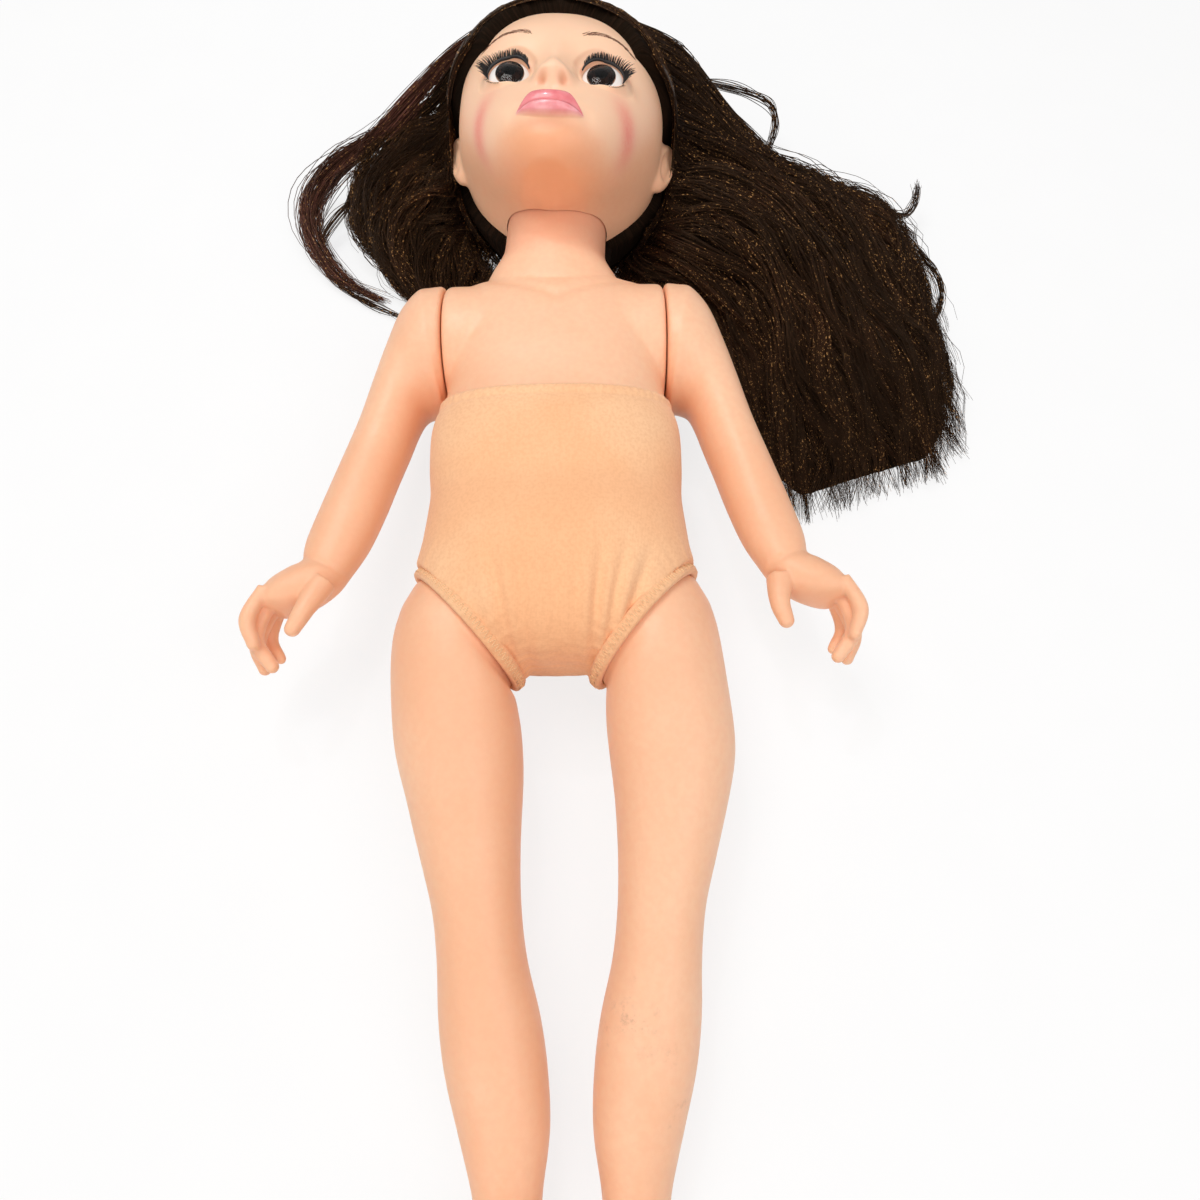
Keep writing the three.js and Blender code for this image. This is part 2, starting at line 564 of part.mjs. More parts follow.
for (const { name, mirror } of SIDES) {
  const centre = new THREE.Vector3(mirror * SHOULDER.x, SHOULDER.y, SHOULDER.z);
  const frame = axisFrame(centre, new THREE.Vector3(mirror, 0, 0));
  let arm = armForm(mirror, 0, RUNNING_GAP);
  for (const rod of [...FINGERS, THUMBS[name]]) {
    arm = arm.add(moved(bentRod(rod, mirror), new THREE.Matrix4().makeTranslation(centre)));
  }
  const wallEnd = -VINYL_WALL - SHOULDER_WASHER_THICKNESS - 3 * GAP;
  const shaft = turned([
    [0, wallEnd - ARM_FLANGE_THICKNESS], [ARM_FLANGE_RADIUS, wallEnd - ARM_FLANGE_THICKNESS],
    [ARM_FLANGE_RADIUS, wallEnd], [ARM_SHAFT_RADIUS, wallEnd],
    [ARM_SHAFT_RADIUS, RUNNING_GAP + TRIM], [0, RUNNING_GAP + TRIM],
  ]);
  arm = arm.add(moved(shaft, frame));
  arm = arm.subtract(armForm(mirror, VINYL_WALL, RUNNING_GAP + VINYL_WALL));
  const bore = cylinder(ARM_BORE_RADIUS, wallEnd - ARM_FLANGE_THICKNESS - TRIM, VINYL_WALL + MARGIN);
  arm = arm.subtract(moved(bore, frame));
  place(`${name}_arm_shell`, arm, 'vinyl');
  const washer = turned([
    [ARM_SHAFT_RADIUS + RUNNING_GAP, -VINYL_WALL - GAP - SHOULDER_WASHER_THICKNESS],
    [SHOULDER_WASHER_RADIUS, -VINYL_WALL - GAP - SHOULDER_WASHER_THICKNESS],
    [SHOULDER_WASHER_RADIUS, -VINYL_WALL - GAP], [ARM_SHAFT_RADIUS + RUNNING_GAP, -VINYL_WALL - GAP],
  ]);
  place(`${name}_shoulder_washer`, moved(washer, frame), 'plastic');
}

// Legs: a hollow shell that ends in a grooved neck and a flange inside the cloth
function legShift(y) {
  return LEG_SHIFT * THREE.MathUtils.smoothstep(HIP.y - y, 0, LEG_SHIFT_OVER);
}

function legForm(mirror, inset, start) {
  const frame = hipFrame(mirror);
  const across = new THREE.Vector3(1, 0, 0).transformDirection(frame);
  if (across.x * mirror < 0) across.negate();
  const centre = new THREE.Vector3(0, start, 0).applyMatrix4(frame);
  const pastHem = new THREE.Vector3(0, HEM_REACH, 0).applyMatrix4(frame);
  const count = inset ? INNER_ROUND : LIMB_ROUND;
  const rings = [centre, pastHem].map((at) => limbStart(at, across, LEG_TOP_RADIUS - inset, count));
  const ankle = ANKLE_RIBS.map(({ inner, outer, up, deep, level }) => {
    const y = SOLE_Y + up - HIP.y;
    return { inner: [inner, y], outer: [outer, y], deep, level };
  });
  for (const rib of [...LEG_RIBS, ...ankle]) {
    const points = ribRing(rib, mirror, inset, new THREE.Vector3(0, HIP.y, 0));
    rings.push(points.map((p) => new THREE.Vector3(p.x + legShift(p.y), p.y, p.z)));
  }
  return solid(loft(rings)).add(footForm(mirror, inset));
}

function footForm(mirror, inset) {
  const centreX = mirror * FOOT_CENTRE_X + LEG_SHIFT;
  const rings = FOOT_LEVELS.map(({ z, half, tall }, i) => {
    const ends = i === 0 ? inset : i === FOOT_LEVELS.length - 1 ? -inset : 0;
    const up = SOLE_Y - FOOT_CUT + tall / 2;
    return ring(inset ? INNER_ROUND : LIMB_ROUND, FOOT_SQUARENESS, (c, s) => new THREE.Vector3(
      centreX + c * (half - inset), up + s * (tall / 2 - inset), z + ends));
  });
  return solid(loft(rings)).subtract(block([-SLICE, -SLICE, -SLICE], [SLICE, SOLE_Y + inset, SLICE]));
}

for (const { name, mirror } of SIDES) {
  const frame = hipFrame(mirror);
  const neck = turned([
    [0, FLANGE_START], [LEG_FLANGE_RADIUS, FLANGE_START], [LEG_FLANGE_RADIUS, GROOVE_START],
    [LEG_GROOVE_RADIUS, GROOVE_START], [LEG_GROOVE_RADIUS, LEG_START + TRIM], [0, LEG_START + TRIM],
  ]);
  let leg = legForm(mirror, 0, LEG_START).add(moved(neck, frame));
  leg = leg.subtract(legForm(mirror, VINYL_WALL, LEG_START + VINYL_WALL));
  const bore = cylinder(LEG_BORE_RADIUS, FLANGE_START - TRIM, LEG_START + VINYL_WALL + MARGIN);
  leg = leg.subtract(moved(bore, frame));
  place(`${name}_leg_shell`, leg, 'vinyl');
  const plugLow = FLANGE_START + RUNNING_GAP;
  const plug = cylinder(LEG_BORE_RADIUS - GAP, plugLow, plugLow + HIP_PLUG_THICKNESS);
  place(`${name}_hip_plug`, moved(plug, frame), 'plastic');
  const hemRadius = LEG_TOP_RADIUS + RUNNING_GAP + HEM_SECTION_RADIUS;
  const hem = new THREE.TorusGeometry(hemRadius, HEM_SECTION_RADIUS, HEM_SIDES, ROUND);
  hem.rotateX(Math.PI / 2);
  const hemLift = CLOTH_END + GAP + HEM_SECTION_RADIUS;
  hem.translate(0, hemLift, 0);
  place(`${name}_leg_hem`, moved(solid(hem), frame), 'cloth');
  const tieRadius = LEG_GROOVE_RADIUS + GAP + LEG_TIE_DIAMETER / 2;
  const legTie = new THREE.TorusGeometry(tieRadius, LEG_TIE_DIAMETER / 2, TIE_SIDES, ROUND);
  legTie.rotateX(Math.PI / 2);
  legTie.translate(0, (GROOVE_START + LEG_START) / 2, 0);
  place(`${name}_leg_tie`, moved(solid(legTie), frame), 'cord');
}

// The rise of the head's base at a depth, dying away with the height
function jawRise(up, z) {
  const behindChin = 1 - THREE.MathUtils.smoothstep(z, JAW_RISE.cornerZ, JAW_RISE.chinZ);
  const beforeNape = THREE.MathUtils.smoothstep(z, JAW_RISE.napeZ, JAW_RISE.cornerZ);
  const left = 1 - THREE.MathUtils.smoothstep(up, HEAD_LEVELS[0].up, JAW_RISE.goneUp);
  return behindChin * THREE.MathUtils.lerp(JAW_RISE.nape, JAW_RISE.corner, beforeNape) * left;
}

// Head: shell with ears, nose and lips, hollow above its floor, with a bore over the neck and two eye sockets
function headForm(offset) {
  const rings = HEAD_LEVELS.map((level, i) => {
    const ends = i === 0 ? -offset : i === HEAD_LEVELS.length - 1 ? offset : 0;
    return ring(offset < 0 ? INNER_ROUND : ROUND, HEAD_SQUARENESS, (c, s) => {
      const deep = s > 0 ? level.front - HEAD_MIDDLE_Z : HEAD_MIDDLE_Z - level.back;
      const z = HEAD_MIDDLE_Z + s * (deep + offset);
      return new THREE.Vector3(c * (level.half + offset), level.up + ends + jawRise(level.up, z), z);
    });
  });
  return solid(loft(rings));
}

const eyeMiddleZ = EYE_FRONT_Z - EYE_RADIUS;
const eyeBackZ = eyeMiddleZ - EYE_DEEP;
const zAxis = new THREE.Vector3(0, 0, 1);
const eyeFrame = (mirror) => axisFrame(new THREE.Vector3(mirror * EYE_SPACING / 2, EYE_UP, eyeMiddleZ), zAxis);

let headShell = headForm(0);
headShell = headShell.add(egg([0, NOSE.up, NOSE.z], [NOSE.half, NOSE.tall, NOSE.deep]));
for (const rise of [-1, 1]) {
  const lipUp = LIPS.up + (rise * LIPS.apart) / 2;
  headShell = headShell.add(egg([0, lipUp, LIPS.z], [LIPS.half, LIPS.tall, LIPS.deep]));
}
for (const { mirror } of SIDES) {
  headShell = headShell.add(egg([mirror * EAR.x, EAR.up, EAR.z], [EAR.thick, EAR.tall, EAR.deep]));
}
let hollow = headForm(-VINYL_WALL);
hollow = hollow.intersect(block([-SLICE, headFloorHigh, -SLICE], [SLICE, SLICE, SLICE]));
for (const { mirror } of SIDES) {
  const socket = cylinder(EYE_RADIUS + GAP + SOCKET_WALL, -EYE_DEEP + EYE_CAP_THICKNESS + GAP, SLICE);
  hollow = hollow.subtract(moved(socket, eyeFrame(mirror)));
}
headShell = headShell.subtract(hollow);
headShell = headShell.subtract(cylinder(NECK_RADIUS + RUNNING_GAP, -SLICE, headFloorLow));
headShell = headShell.subtract(cylinder(KNOB_SHAFT_RADIUS + RUNNING_GAP, -TRIM, headFloorHigh + TRIM));
for (const { mirror } of SIDES) {
  const frame = eyeFrame(mirror);
  const cavity = egg([0, 0, 0], [EYE_RADIUS + GAP, EYE_RADIUS + GAP, EYE_RADIUS + GAP], LATHE_ROUND);
  const way = cylinder(EYE_RADIUS + GAP, -EYE_DEEP - TRIM, 0);
  const slot = cylinder(1, 0, SLICE);
  const shape = new THREE.Matrix4().makeScale(EYE_SLOT.half, 1, EYE_SLOT.tall);
  headShell = headShell.subtract(moved(cavity.add(way), frame));
  headShell = headShell.subtract(moved(moved(slot, shape), frame));
}
place('head_shell', headShell, 'vinyl', headGroup);

// Eyes: a white shell with the iris set into its front under a clear dome, and a cap that holds it from behind
for (const { name, mirror } of SIDES) {
  const frame = eyeFrame(mirror);
  const back = -EYE_DEEP + EYE_CAP_THICKNESS + 2 * GAP;
  const profile = [[0, back], [EYE_RADIUS, back]];
  const seat = Math.sqrt(EYE_RADIUS ** 2 - (IRIS_RADIUS + GAP) ** 2);
  const rim = Math.acos(seat / EYE_RADIUS);
  for (let i = 0; i <= EYE_STEPS; i += 1) {
    const angle = THREE.MathUtils.lerp(Math.PI / 2, rim, i / EYE_STEPS);
    profile.push([EYE_RADIUS * Math.sin(angle), EYE_RADIUS * Math.cos(angle)]);
  }
  const recess = seat - IRIS_THICKNESS - GAP;
  profile.push([IRIS_RADIUS + GAP, recess], [0, recess]);
  place(`${name}_eye_shell`, moved(turned(profile), frame), 'eyeWhite', headGroup);
  const irisLow = recess + GAP;
  const iris = cylinder(IRIS_RADIUS, irisLow, irisLow + IRIS_THICKNESS);
  place(`${name}_iris`, moved(iris, frame), 'iris', headGroup);
  const lensLow = irisLow + IRIS_THICKNESS + GAP;
  const dome = LENS_OUTLINE.map(([across, high]) => [IRIS_RADIUS * across, lensLow + LENS_DOME * high]);
  const lens = turned([[0, lensLow], ...dome]);
  place(`${name}_eye_lens`, moved(lens, frame), 'lens', headGroup);
  const cap = cylinder(EYE_RADIUS + SOCKET_WALL, -EYE_DEEP, -EYE_DEEP + EYE_CAP_THICKNESS);
  place(`${name}_eye_cap`, moved(cap, frame), 'plastic', headGroup);
}

// Upper lashes: a curved strip along the upper edge of each eye
for (const { name, mirror } of SIDES) {
  const rings = [];
  for (let i = 0; i <= LASH_STEPS; i += 1) {
    const across = THREE.MathUtils.lerp(-1, 1, i / LASH_STEPS);
    const x = mirror * EYE_SPACING / 2 + across * LASH.half;
    const up = EYE_UP + LASH.rise + LASH.arch * (1 - across ** 2);
    const z = EYE_FRONT_Z + LASH.ahead - LASH.wrap * across ** 2;
    const corners = [[0, 0], [LASH.thick, 0], [LASH.thick + LASH.tilt, LASH.reach], [LASH.tilt, LASH.reach]];
    rings.push(corners.map(([rise, reach]) => new THREE.Vector3(x, up + rise, z + reach)));
  }
  const strip = solid(loft(rings)).subtract(headForm(GAP));
  const parts = strip.decompose().sort((a, b) => b.volume() - a.volume());
  place(`${name}_upper_lash`, parts[0], 'lash', headGroup);
}

// Hair on the head: a thick cap over crown, back and sides, open round the face and the neck
let hairCap = headForm(HAIR_THICK).subtract(headForm(GAP));
hairCap = hairCap.subtract(block([-SLICE, -SLICE, -SLICE], [SLICE, HAIR_NAPE_UP, SLICE]));
const overEar = EAR.up + EAR.tall + HAIR_EAR_GAP;
hairCap = hairCap.subtract(block([-SLICE, -SLICE, EAR.z - EAR.deep - GAP], [SLICE, overEar, SLICE]));
const faceOval = new THREE.Matrix4().makeRotationX(Math.PI / 2);
faceOval.scale(new THREE.Vector3(HAIR_LINE.half, 1, HAIR_LINE.top));
const faceCut = moved(cylinder(1, -SLICE, SLICE), faceOval).translate(0, 0, SLICE + HAIR_LINE.z);
hairCap = hairCap.subtract(faceCut);
hairCap = hairCap.subtract(cylinder(NECK_RADIUS + HAIR_NECK_GAP, -SLICE, 0));
hairCap = hairCap.subtract(block([-SLICE, -SLICE, -SLICE], [SLICE, SLICE, -NECK_TOP.z]));
const capParts = hairCap.decompose().sort((a, b) => b.volume() - a.volume());
place('hair_cap', capParts[0], 'hair', headGroup);

headGroup.position.copy(NECK_TOP);
headGroup.rotation.z = -THREE.MathUtils.degToRad(HEAD_LEAN_DEG);
doll.add(headGroup);

// Hair on the floor: a low mound on each side, highest beside the head, in locks that part along straight lines
const capClearance = moved(headForm(HAIR_THICK + 2 * GAP), neckFrame);
function lobeHeight(x, y, fall) {
  const away = Math.hypot(x - fall.centre[0], y - fall.centre[1]);
  return LOBE_HEIGHT * (1 - fall.loses * THREE.MathUtils.smoothstep(away, fall.near, fall.far));
}
function lobeForm(outline, fall) {
  const curve = new THREE.CatmullRomCurve3(outline.map(([x, y]) => new THREE.Vector3(x, y, 0)), true);
  const edge = curve.getSpacedPoints(LOBE_POINTS).slice(0, LOBE_POINTS);
  const middle = edge.reduce((sum, p) => sum.add(p), new THREE.Vector3()).divideScalar(edge.length);
  const layer = (share, lift) => edge.map((p) => {
    const point = middle.clone().lerp(p, share);
    return new THREE.Vector3(point.x, point.y, lift * lobeHeight(point.x, point.y, fall));
  });
  return solid(loft(LOBE_LAYERS.map(([share, lift]) => layer(share, lift))));
}
for (const { outline, cuts, fall, names } of HAIR_LOBES) {
  const lobe = lobeForm(outline, fall).subtract(capClearance);
  const edges = [SLICE, ...cuts, -SLICE];
  names.forEach((name, i) => {
    const band = block([-SLICE, edges[i + 1] + GAP / 2, -SLICE], [SLICE, edges[i] - GAP / 2, SLICE]);
    const parts = lobe.intersect(band).decompose().sort((a, b) => b.volume() - a.volume());
    place(name, parts[0], 'hair');
  });
}

export default doll;
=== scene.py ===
import math

import bmesh
import bpy
import numpy as np
from mathutils import Matrix, Vector
from mathutils.bvhtree import BVHTree
from mathutils.kdtree import KDTree


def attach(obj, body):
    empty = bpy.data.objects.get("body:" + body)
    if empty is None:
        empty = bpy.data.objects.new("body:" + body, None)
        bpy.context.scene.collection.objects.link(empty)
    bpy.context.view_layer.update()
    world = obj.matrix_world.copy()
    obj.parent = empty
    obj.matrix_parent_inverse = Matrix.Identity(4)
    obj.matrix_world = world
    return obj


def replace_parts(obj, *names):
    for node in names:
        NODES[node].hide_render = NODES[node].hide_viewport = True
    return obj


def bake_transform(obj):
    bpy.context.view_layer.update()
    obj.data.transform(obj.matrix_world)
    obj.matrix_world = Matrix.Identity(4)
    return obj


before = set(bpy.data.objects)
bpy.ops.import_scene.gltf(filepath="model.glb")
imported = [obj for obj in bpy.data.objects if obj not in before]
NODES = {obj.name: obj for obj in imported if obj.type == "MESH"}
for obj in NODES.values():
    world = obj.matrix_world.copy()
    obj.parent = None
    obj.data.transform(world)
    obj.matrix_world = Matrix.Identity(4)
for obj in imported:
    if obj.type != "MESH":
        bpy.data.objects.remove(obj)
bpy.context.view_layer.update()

# The doll lies on its back: +Z is its front, +Y its head, +X its left. Shapes are written in millimetres.
MM = 0.001
SCENE = bpy.context.scene
SIDES = (("left", 1), ("right", -1))

# Camera, as the photograph's outlines give it
PHOTO_SIDE = 1200
FOCAL_PIXELS = 811
SENSOR = 36
CAMERA_TILT = 21
CAMERA_YAW = -1.1
CAMERA_AWAY = 292
CAMERA_AIM = (15.5, 0, 30)

# Lamps, in metres and watts: name, place, aim, size, power and colour
LAMPS = (("key", (-0.28, 0.35, 1.0), (0, 0.02, 0.03), 0.6, 4.4, (1.0, 0.97, 0.93)),
         ("fill", (0.55, -0.3, 0.9), (0, 0.0, 0.03), 0.8, 3.4, (1.0, 0.95, 0.95)),
         ("low", (-0.35, -0.75, 0.65), (0, -0.05, 0.03), 0.7, 2.6, (1.0, 0.95, 0.9)),
         ("glint", (-0.09, 0.36, 0.62), (0, 0.19, 0.08), 0.03, 0.42, (0.72, 0.84, 1.0)))
# Strength of the light from all round, how much of the floor's seen colour is plain white, and its half width
PLAIN_LIGHT = 0.36
FLOOR_WHITE = 0.78
FLOOR_REACH = 3.0

# Torso levels along the doll: place, half width, back and front
TORSO_LEVELS = [(92, 44, 3.2, 62.8), (79, 43.8, 2.6, 63), (66, 47, 0.5, 64.5), (50, 47.2, -0.5, 64),
                (36, 46.6, -0.5, 62.5), (18, 48, -0.5, 65), (4, 50, -0.5, 64.5), (-10, 46, 0, 61.5),
                (-18, 36, 4, 57), (-23.6, 20, 14, 50), (-25.4, 11, 24, 42)]
TORSO_SQUARENESS = 2.5
# The cloth's top edge: its place, at which level, and how far it falls back with the level
CLOTH_TOP = (79, 33, 0.3)
CLOTH_LIFT = 1.6
SIDE_SEAM_Z = 30

# Shoulder plate, neck and shoulder joints
PLATE_LEVELS = [(108, 42.3, 6.5, 59.8), (116, 42, 8, 58.4), (122.6, 41.5, 11, 55.8), (128, 39.8, 14, 51.6),
                (131, 36, 18, 47), (132.6, 27, 23, 42)]
PLATE_SQUARENESS = 2.8
PLATE_LOW_Y = 58
NECK_RADIUS = 20.6
NECK_FOOT_Y = 141
NECK_STRAIGHT_Y = 152
NECK_TOP = (0.8, 168, 38)
HEAD_LEAN = 4
SHOULDER = (42.6, 107.5, 33)
SHOULDER_RADIUS = 24.2
JOINT_GAP = 0.4
LIMB_SQUARENESS = 2.1
FOOT_SQUARENESS = 2.4

# Voxels that the overlapping skins of a piece are melted on
SKIN_VOXEL = 0.9
HAND_VOXEL = 0.55
HEAD_VOXEL = 0.85
HAIR_VOXEL = 1.6

# Arm ribs from the shoulder's centre: inner and outer outline, depth, rise
ARM_RIBS = [(1.5, -24.6, 1.5, 23.9, 24.3, 0), (1.7, -25.2, 6.8, 23, 24.6, 0), (2, -26.2, 12.2, 21.4, 24.8, 0),
            (5.4, -27, 19, 12, 22.6, 0), (8.6, -29.5, 24.4, -3, 18.8, 0),
            (11, -36, 28.6, -18, 16.2, 0), (13.6, -46, 33.2, -36.5, 14.4, 0), (16.8, -58.5, 39, -57, 13.2, 1),
            (20.2, -73, 43.4, -73.5, 12, 2.5), (24.4, -88, 46.4, -87, 10.4, 4.5),
            (29.4, -99, 47, -95.6, 8.8, 6), (33.4, -106, 50.6, -98.4, 9.4, 7),
            (39.6, -111, 56.4, -102.8, 10, 7), (46.2, -113.6, 60.4, -108.6, 9, 6.4),
            (50.6, -114.6, 61.6, -111.4, 6.4, 5.6)]
# Fingers and thumbs from root to bend to tip, from the shoulder's centre, with their radius
FINGERS = [((56, -107, 13.4), (60.6, -118, 13), (58.4, -126.4, 10.6), 2.7),
           ((55.6, -109, 8.2), (59.6, -123, 7), (53.6, -132.6, 4.6), 2.8),
           ((56, -109, 2.8), (61.4, -122.6, 0.6), (58.6, -131.6, -1.8), 2.7),
           ((55.6, -108, -2), (59.2, -119, -4.8), (55.6, -126.4, -6.6), 2.4)]
THUMBS = {"left": ((35, -106, 11), (33.6, -115.6, 13.4), (35.2, -122.2, 13.2), 3.1),
          "right": ((37, -105, 12), (41, -115.6, 15), (44.2, -122.8, 15.2), 3.1)}
# How full a finger or thumb is along its length, as shares of its radius
FINGER_FULL = (0.9, 1.0, 1.06, 0.95, 0.84)
THUMB_FULL = (1.55, 1.32, 1.12, 1.02, 0.88)

# Hip joints and leg ribs: inner and outer outline, depth, level
HIP = (32.6, -11.8, 30)
HIP_AXIS = -42.4
LEG_TOP_RADIUS = 24.4
LEG_END_RADIUS = 23.2
LEG_START = -2.55
HEM_REACH = 1.6
# The cloth's sleeve round a hip joint: its radius, how far in it is full and ends, and its taper
HIP_SLEEVE = (26.2, 12, 34, 7)
LEG_RIBS = [(15.6, -23.4, 54.6, 8, 24.8, 30), (15.1, -27.4, 57, -3, 24, 30),
            (14.5, -35, 57.8, -20, 22.6, 29.6), (14.6, -47, 57, -42, 21.2, 29),
            (15.4, -61, 52.6, -60, 19, 28), (15.8, -76, 48, -76, 16.8, 27),
            (15.2, -92, 43.4, -92, 14.8, 26.4), (13.2, -107, 41.4, -107, 14.6, 25),
            (9.2, -123, 40.6, -123, 15.8, 22.4), (7, -138, 38.4, -138, 15.8, 20),
            (6.4, -154, 34, -154, 13.6, 18), (8.6, -170, 29.6, -170, 10.8, 16),
            (9, -180, 28.4, -180, 10.6, 15), (9.4, -186, 28, -186, 10.6, 15)]
LEG_SHIFT = 3.8
LEG_SHIFT_OVER = 60
SOLE_Y = -208
FOOT_X = 18.8
FOOT_LEVELS = [(1, 6, 12), (6.5, 9, 20), (16, 10.2, 24), (26, 10.4, 21), (38, 11.4, 15.5), (50, 12, 12.4),
               (58, 10.4, 10.4), (63, 6, 6.6)]
TOE_GAPS = (-3.2, 1.2, 5, 8.2)
# Rubbed spots on the left shin: strength, then place and width across, and along
WORN_SPOTS = ((1, 18, 8, -136, 8), (1, 40, 8, -158, 9), (0.5, 26, 6, -122, 6))

# Head levels over the neck's top, in the leaning frame that stands there: up, half width, back, front
HEAD_LEVELS = [(-18.6, 13, -8, 47.5), (-15.5, 18.5, -14, 51.5), (-10, 25, -20, 54.5), (-2, 31.5, -25, 56),
               (8, 37, -28.5, 54.5), (20, 41.2, -30.5, 54), (32, 42.4, -31.5, 56), (44, 42, -30.5, 55.5),
               (57, 38.4, -25, 50.5), (67, 31.4, -15, 41.5), (75, 19.5, -2, 29), (78.6, 8, 8, 19)]
HEAD_MIDDLE_Z = 12
HEAD_SQUARENESS = 2.35

# How far the head's base is raised at the jaw's corners and the nape, at which depths, and where that ends
JAW_CORNER_RISE = 9
JAW_NAPE_RISE = 3
JAW_DEPTHS = (-24, 10, 48)
JAW_RISE_GONE = 22

# Eyes, in the head's frame
EYE_X = 17.3
EYE_UP = 23.2
IRIS_DROP = 0.9
EYEBALL_Z = 39.2
EYEBALL_RADIUS = 12
IRIS_RADIUS = 5.5
# The eye's opening: outer and inner half, over and under its middle, and how far its corners hang
EYE_OPEN = (8.7, 7.5, 6.1, 6.1)
EYE_DROOP = 0.1

# The face's soft forms, the same on both sides: how far forward, then place and width across, and up
FACE_FORMS = [(-1.2, EYE_X, 8.5, EYE_UP + 1, 8), (-1.3, 9.6, 3, EYE_UP, 5), (0.8, 18, 10, 37, 4.5),
              (5, 0, 3.7, 15.2, 3.9), (2.4, 0, 3.2, 22, 6.5), (2.6, 4.9, 2, 13.6, 2.5),
              (-1.9, 3.9, 1.25, 11.2, 1.25), (-0.5, 0, 1.5, 8, 2), (1.3, 0, 9, -2, 6),
              (-0.9, 0, 7, -9.8, 1.8), (1.1, 0, 10, -12.5, 6), (-0.6, 13.8, 1.8, -4.6, 2.4),
              (1.4, 21, 9, 4, 8)]
# Mouth, ears and blush, in the head's frame
LIP_HALF = 12.5
EAR_PLACE = (43, 27, 6.2)
EAR_RADII = (4.4, 12.8, 6.3)
EAR_TURN = 0.6
EAR_LEAN = 0.2
BLUSH = (28.2, 4.4, 41.5)


def added(name, data):
    """A new object of the scene."""
    made = bpy.data.objects.new(name, data)
    SCENE.collection.objects.link(made)
    return made


# Camera and studio
def camera():
    tilt = math.radians(CAMERA_TILT)
    turn = Matrix.Rotation(math.radians(CAMERA_YAW), 3, "Z")
    forward = turn @ Vector((0, math.sin(tilt), -math.cos(tilt)))
    up = turn @ Vector((0, math.cos(tilt), math.sin(tilt)))
    right = forward.cross(up)
    made = added("camera", bpy.data.cameras.new("camera"))
    made.data.sensor_width = SENSOR
    made.data.lens = SENSOR * FOCAL_PIXELS / PHOTO_SIDE
    made.data.clip_start = 0.01
    place = (Vector(CAMERA_AIM) - CAMERA_AWAY * forward) * MM
    axes = Matrix((right, up, -forward)).transposed().to_4x4()
    made.matrix_world = Matrix.Translation(place) @ axes
    SCENE.camera = made


def lamp(name, place, aim, size, power, color):
    data = bpy.data.lights.new(name, "AREA")
    data.shape = "DISK"
    data.size = size
    data.energy = power
    data.color = color
    made = added(name, data)
    made.location = place
    made.rotation_euler = (Vector(aim) - Vector(place)).to_track_quat("-Z", "Y").to_euler()


# Material nodes
class Nodes:
    """The node tree of a new material, with short ways to add and join nodes."""

    def __init__(self, name):
        self.material = bpy.data.materials.new(name)
        self.material.use_nodes = True
        self.tree = self.material.node_tree
        self.shader = self.tree.nodes["Principled BSDF"]
        self.output = self.tree.nodes["Material Output"]

    def add(self, kind, inputs=(), **settings):
        made = self.tree.nodes.new("ShaderNode" + kind)
        for key, value in settings.items():
            setattr(made, key, value)
        for key, value in dict(inputs).items():
            if isinstance(value, bpy.types.NodeSocket):
                self.tree.links.new(value, made.inputs[key])
            else:
                made.inputs[key].default_value = value
        return made

    def set(self, **values):
        for key, value in values.items():
            self.shader.inputs[key.replace("_", " ")].default_value = value

    def join(self, source, socket):
        self.tree.links.new(source, self.shader.inputs[socket])

    def place(self):
        return self.add("TexCoord").outputs["Object"]

    def noise(self, scale, detail, rough=0.5, vector=None):
        inputs = {"Vector": vector or self.place(), "Scale": scale, "Detail": detail, "Roughness": rough}
        return self.add("TexNoise", inputs).outputs["Fac"]

    def ramp(self, value, low, high, to_low=0.0, to_high=1.0):
        inputs = {"Value": value, "From Min": low, "From Max": high, "To Min": to_low, "To Max": to_high}
        return self.add("MapRange", inputs, interpolation_type="SMOOTHSTEP").outputs["Result"]

    def patches(self, scale, detail, *levels):
        return self.ramp(self.noise(scale, detail), *levels)

    def math(self, operation, a, b):
        return self.add("Math", {0: a, 1: b}, operation=operation).outputs[0]

    def times(self, a, b):
        return self.math("MULTIPLY", a, b)

    def mix(self, share, a, b):
        return self.add("Mix", {0: share, 6: a, 7: b}, data_type="RGBA").outputs[2]

    def attribute(self, name):
        return self.add("Attribute", attribute_name=name).outputs["Fac"]

    def bump(self, height, strength, distance, normal=None):
        inputs = {"Height": height, "Strength": strength, "Distance": distance}
        if normal:
            inputs["Normal"] = normal
        return self.add("Bump", inputs).outputs["Normal"]


def linear(red, green, blue):
    """A display colour, 0 to 255, as the linear colour that a shader takes."""
    def one(v):
        v /= 255
        return v / 12.92 if v <= 0.04045 else ((v + 0.055) / 1.055) ** 2.4
    return (one(red), one(green), one(blue), 1)


SKIN = linear(249, 190, 151)
SKIN_WARM = linear(245, 176, 138)
SKIN_PALE = linear(254, 202, 165)
# Copper of the highlights painted on the hair
PAINTED_GLINT = linear(226, 170, 108)
GLOSS = linear(236, 186, 138)


def skin_color(n):
    """Vinyl: a broad drift between warmer and paler, and a fine mottle."""
    broad = n.patches(14, 2, 0.35, 0.65)
    fine = n.patches(420, 3, 0.3, 0.7, 0.0, 0.35)
    base = n.mix(broad, SKIN, SKIN_PALE)
    return n.mix(n.times(fine, 0.6), base, SKIN_WARM)


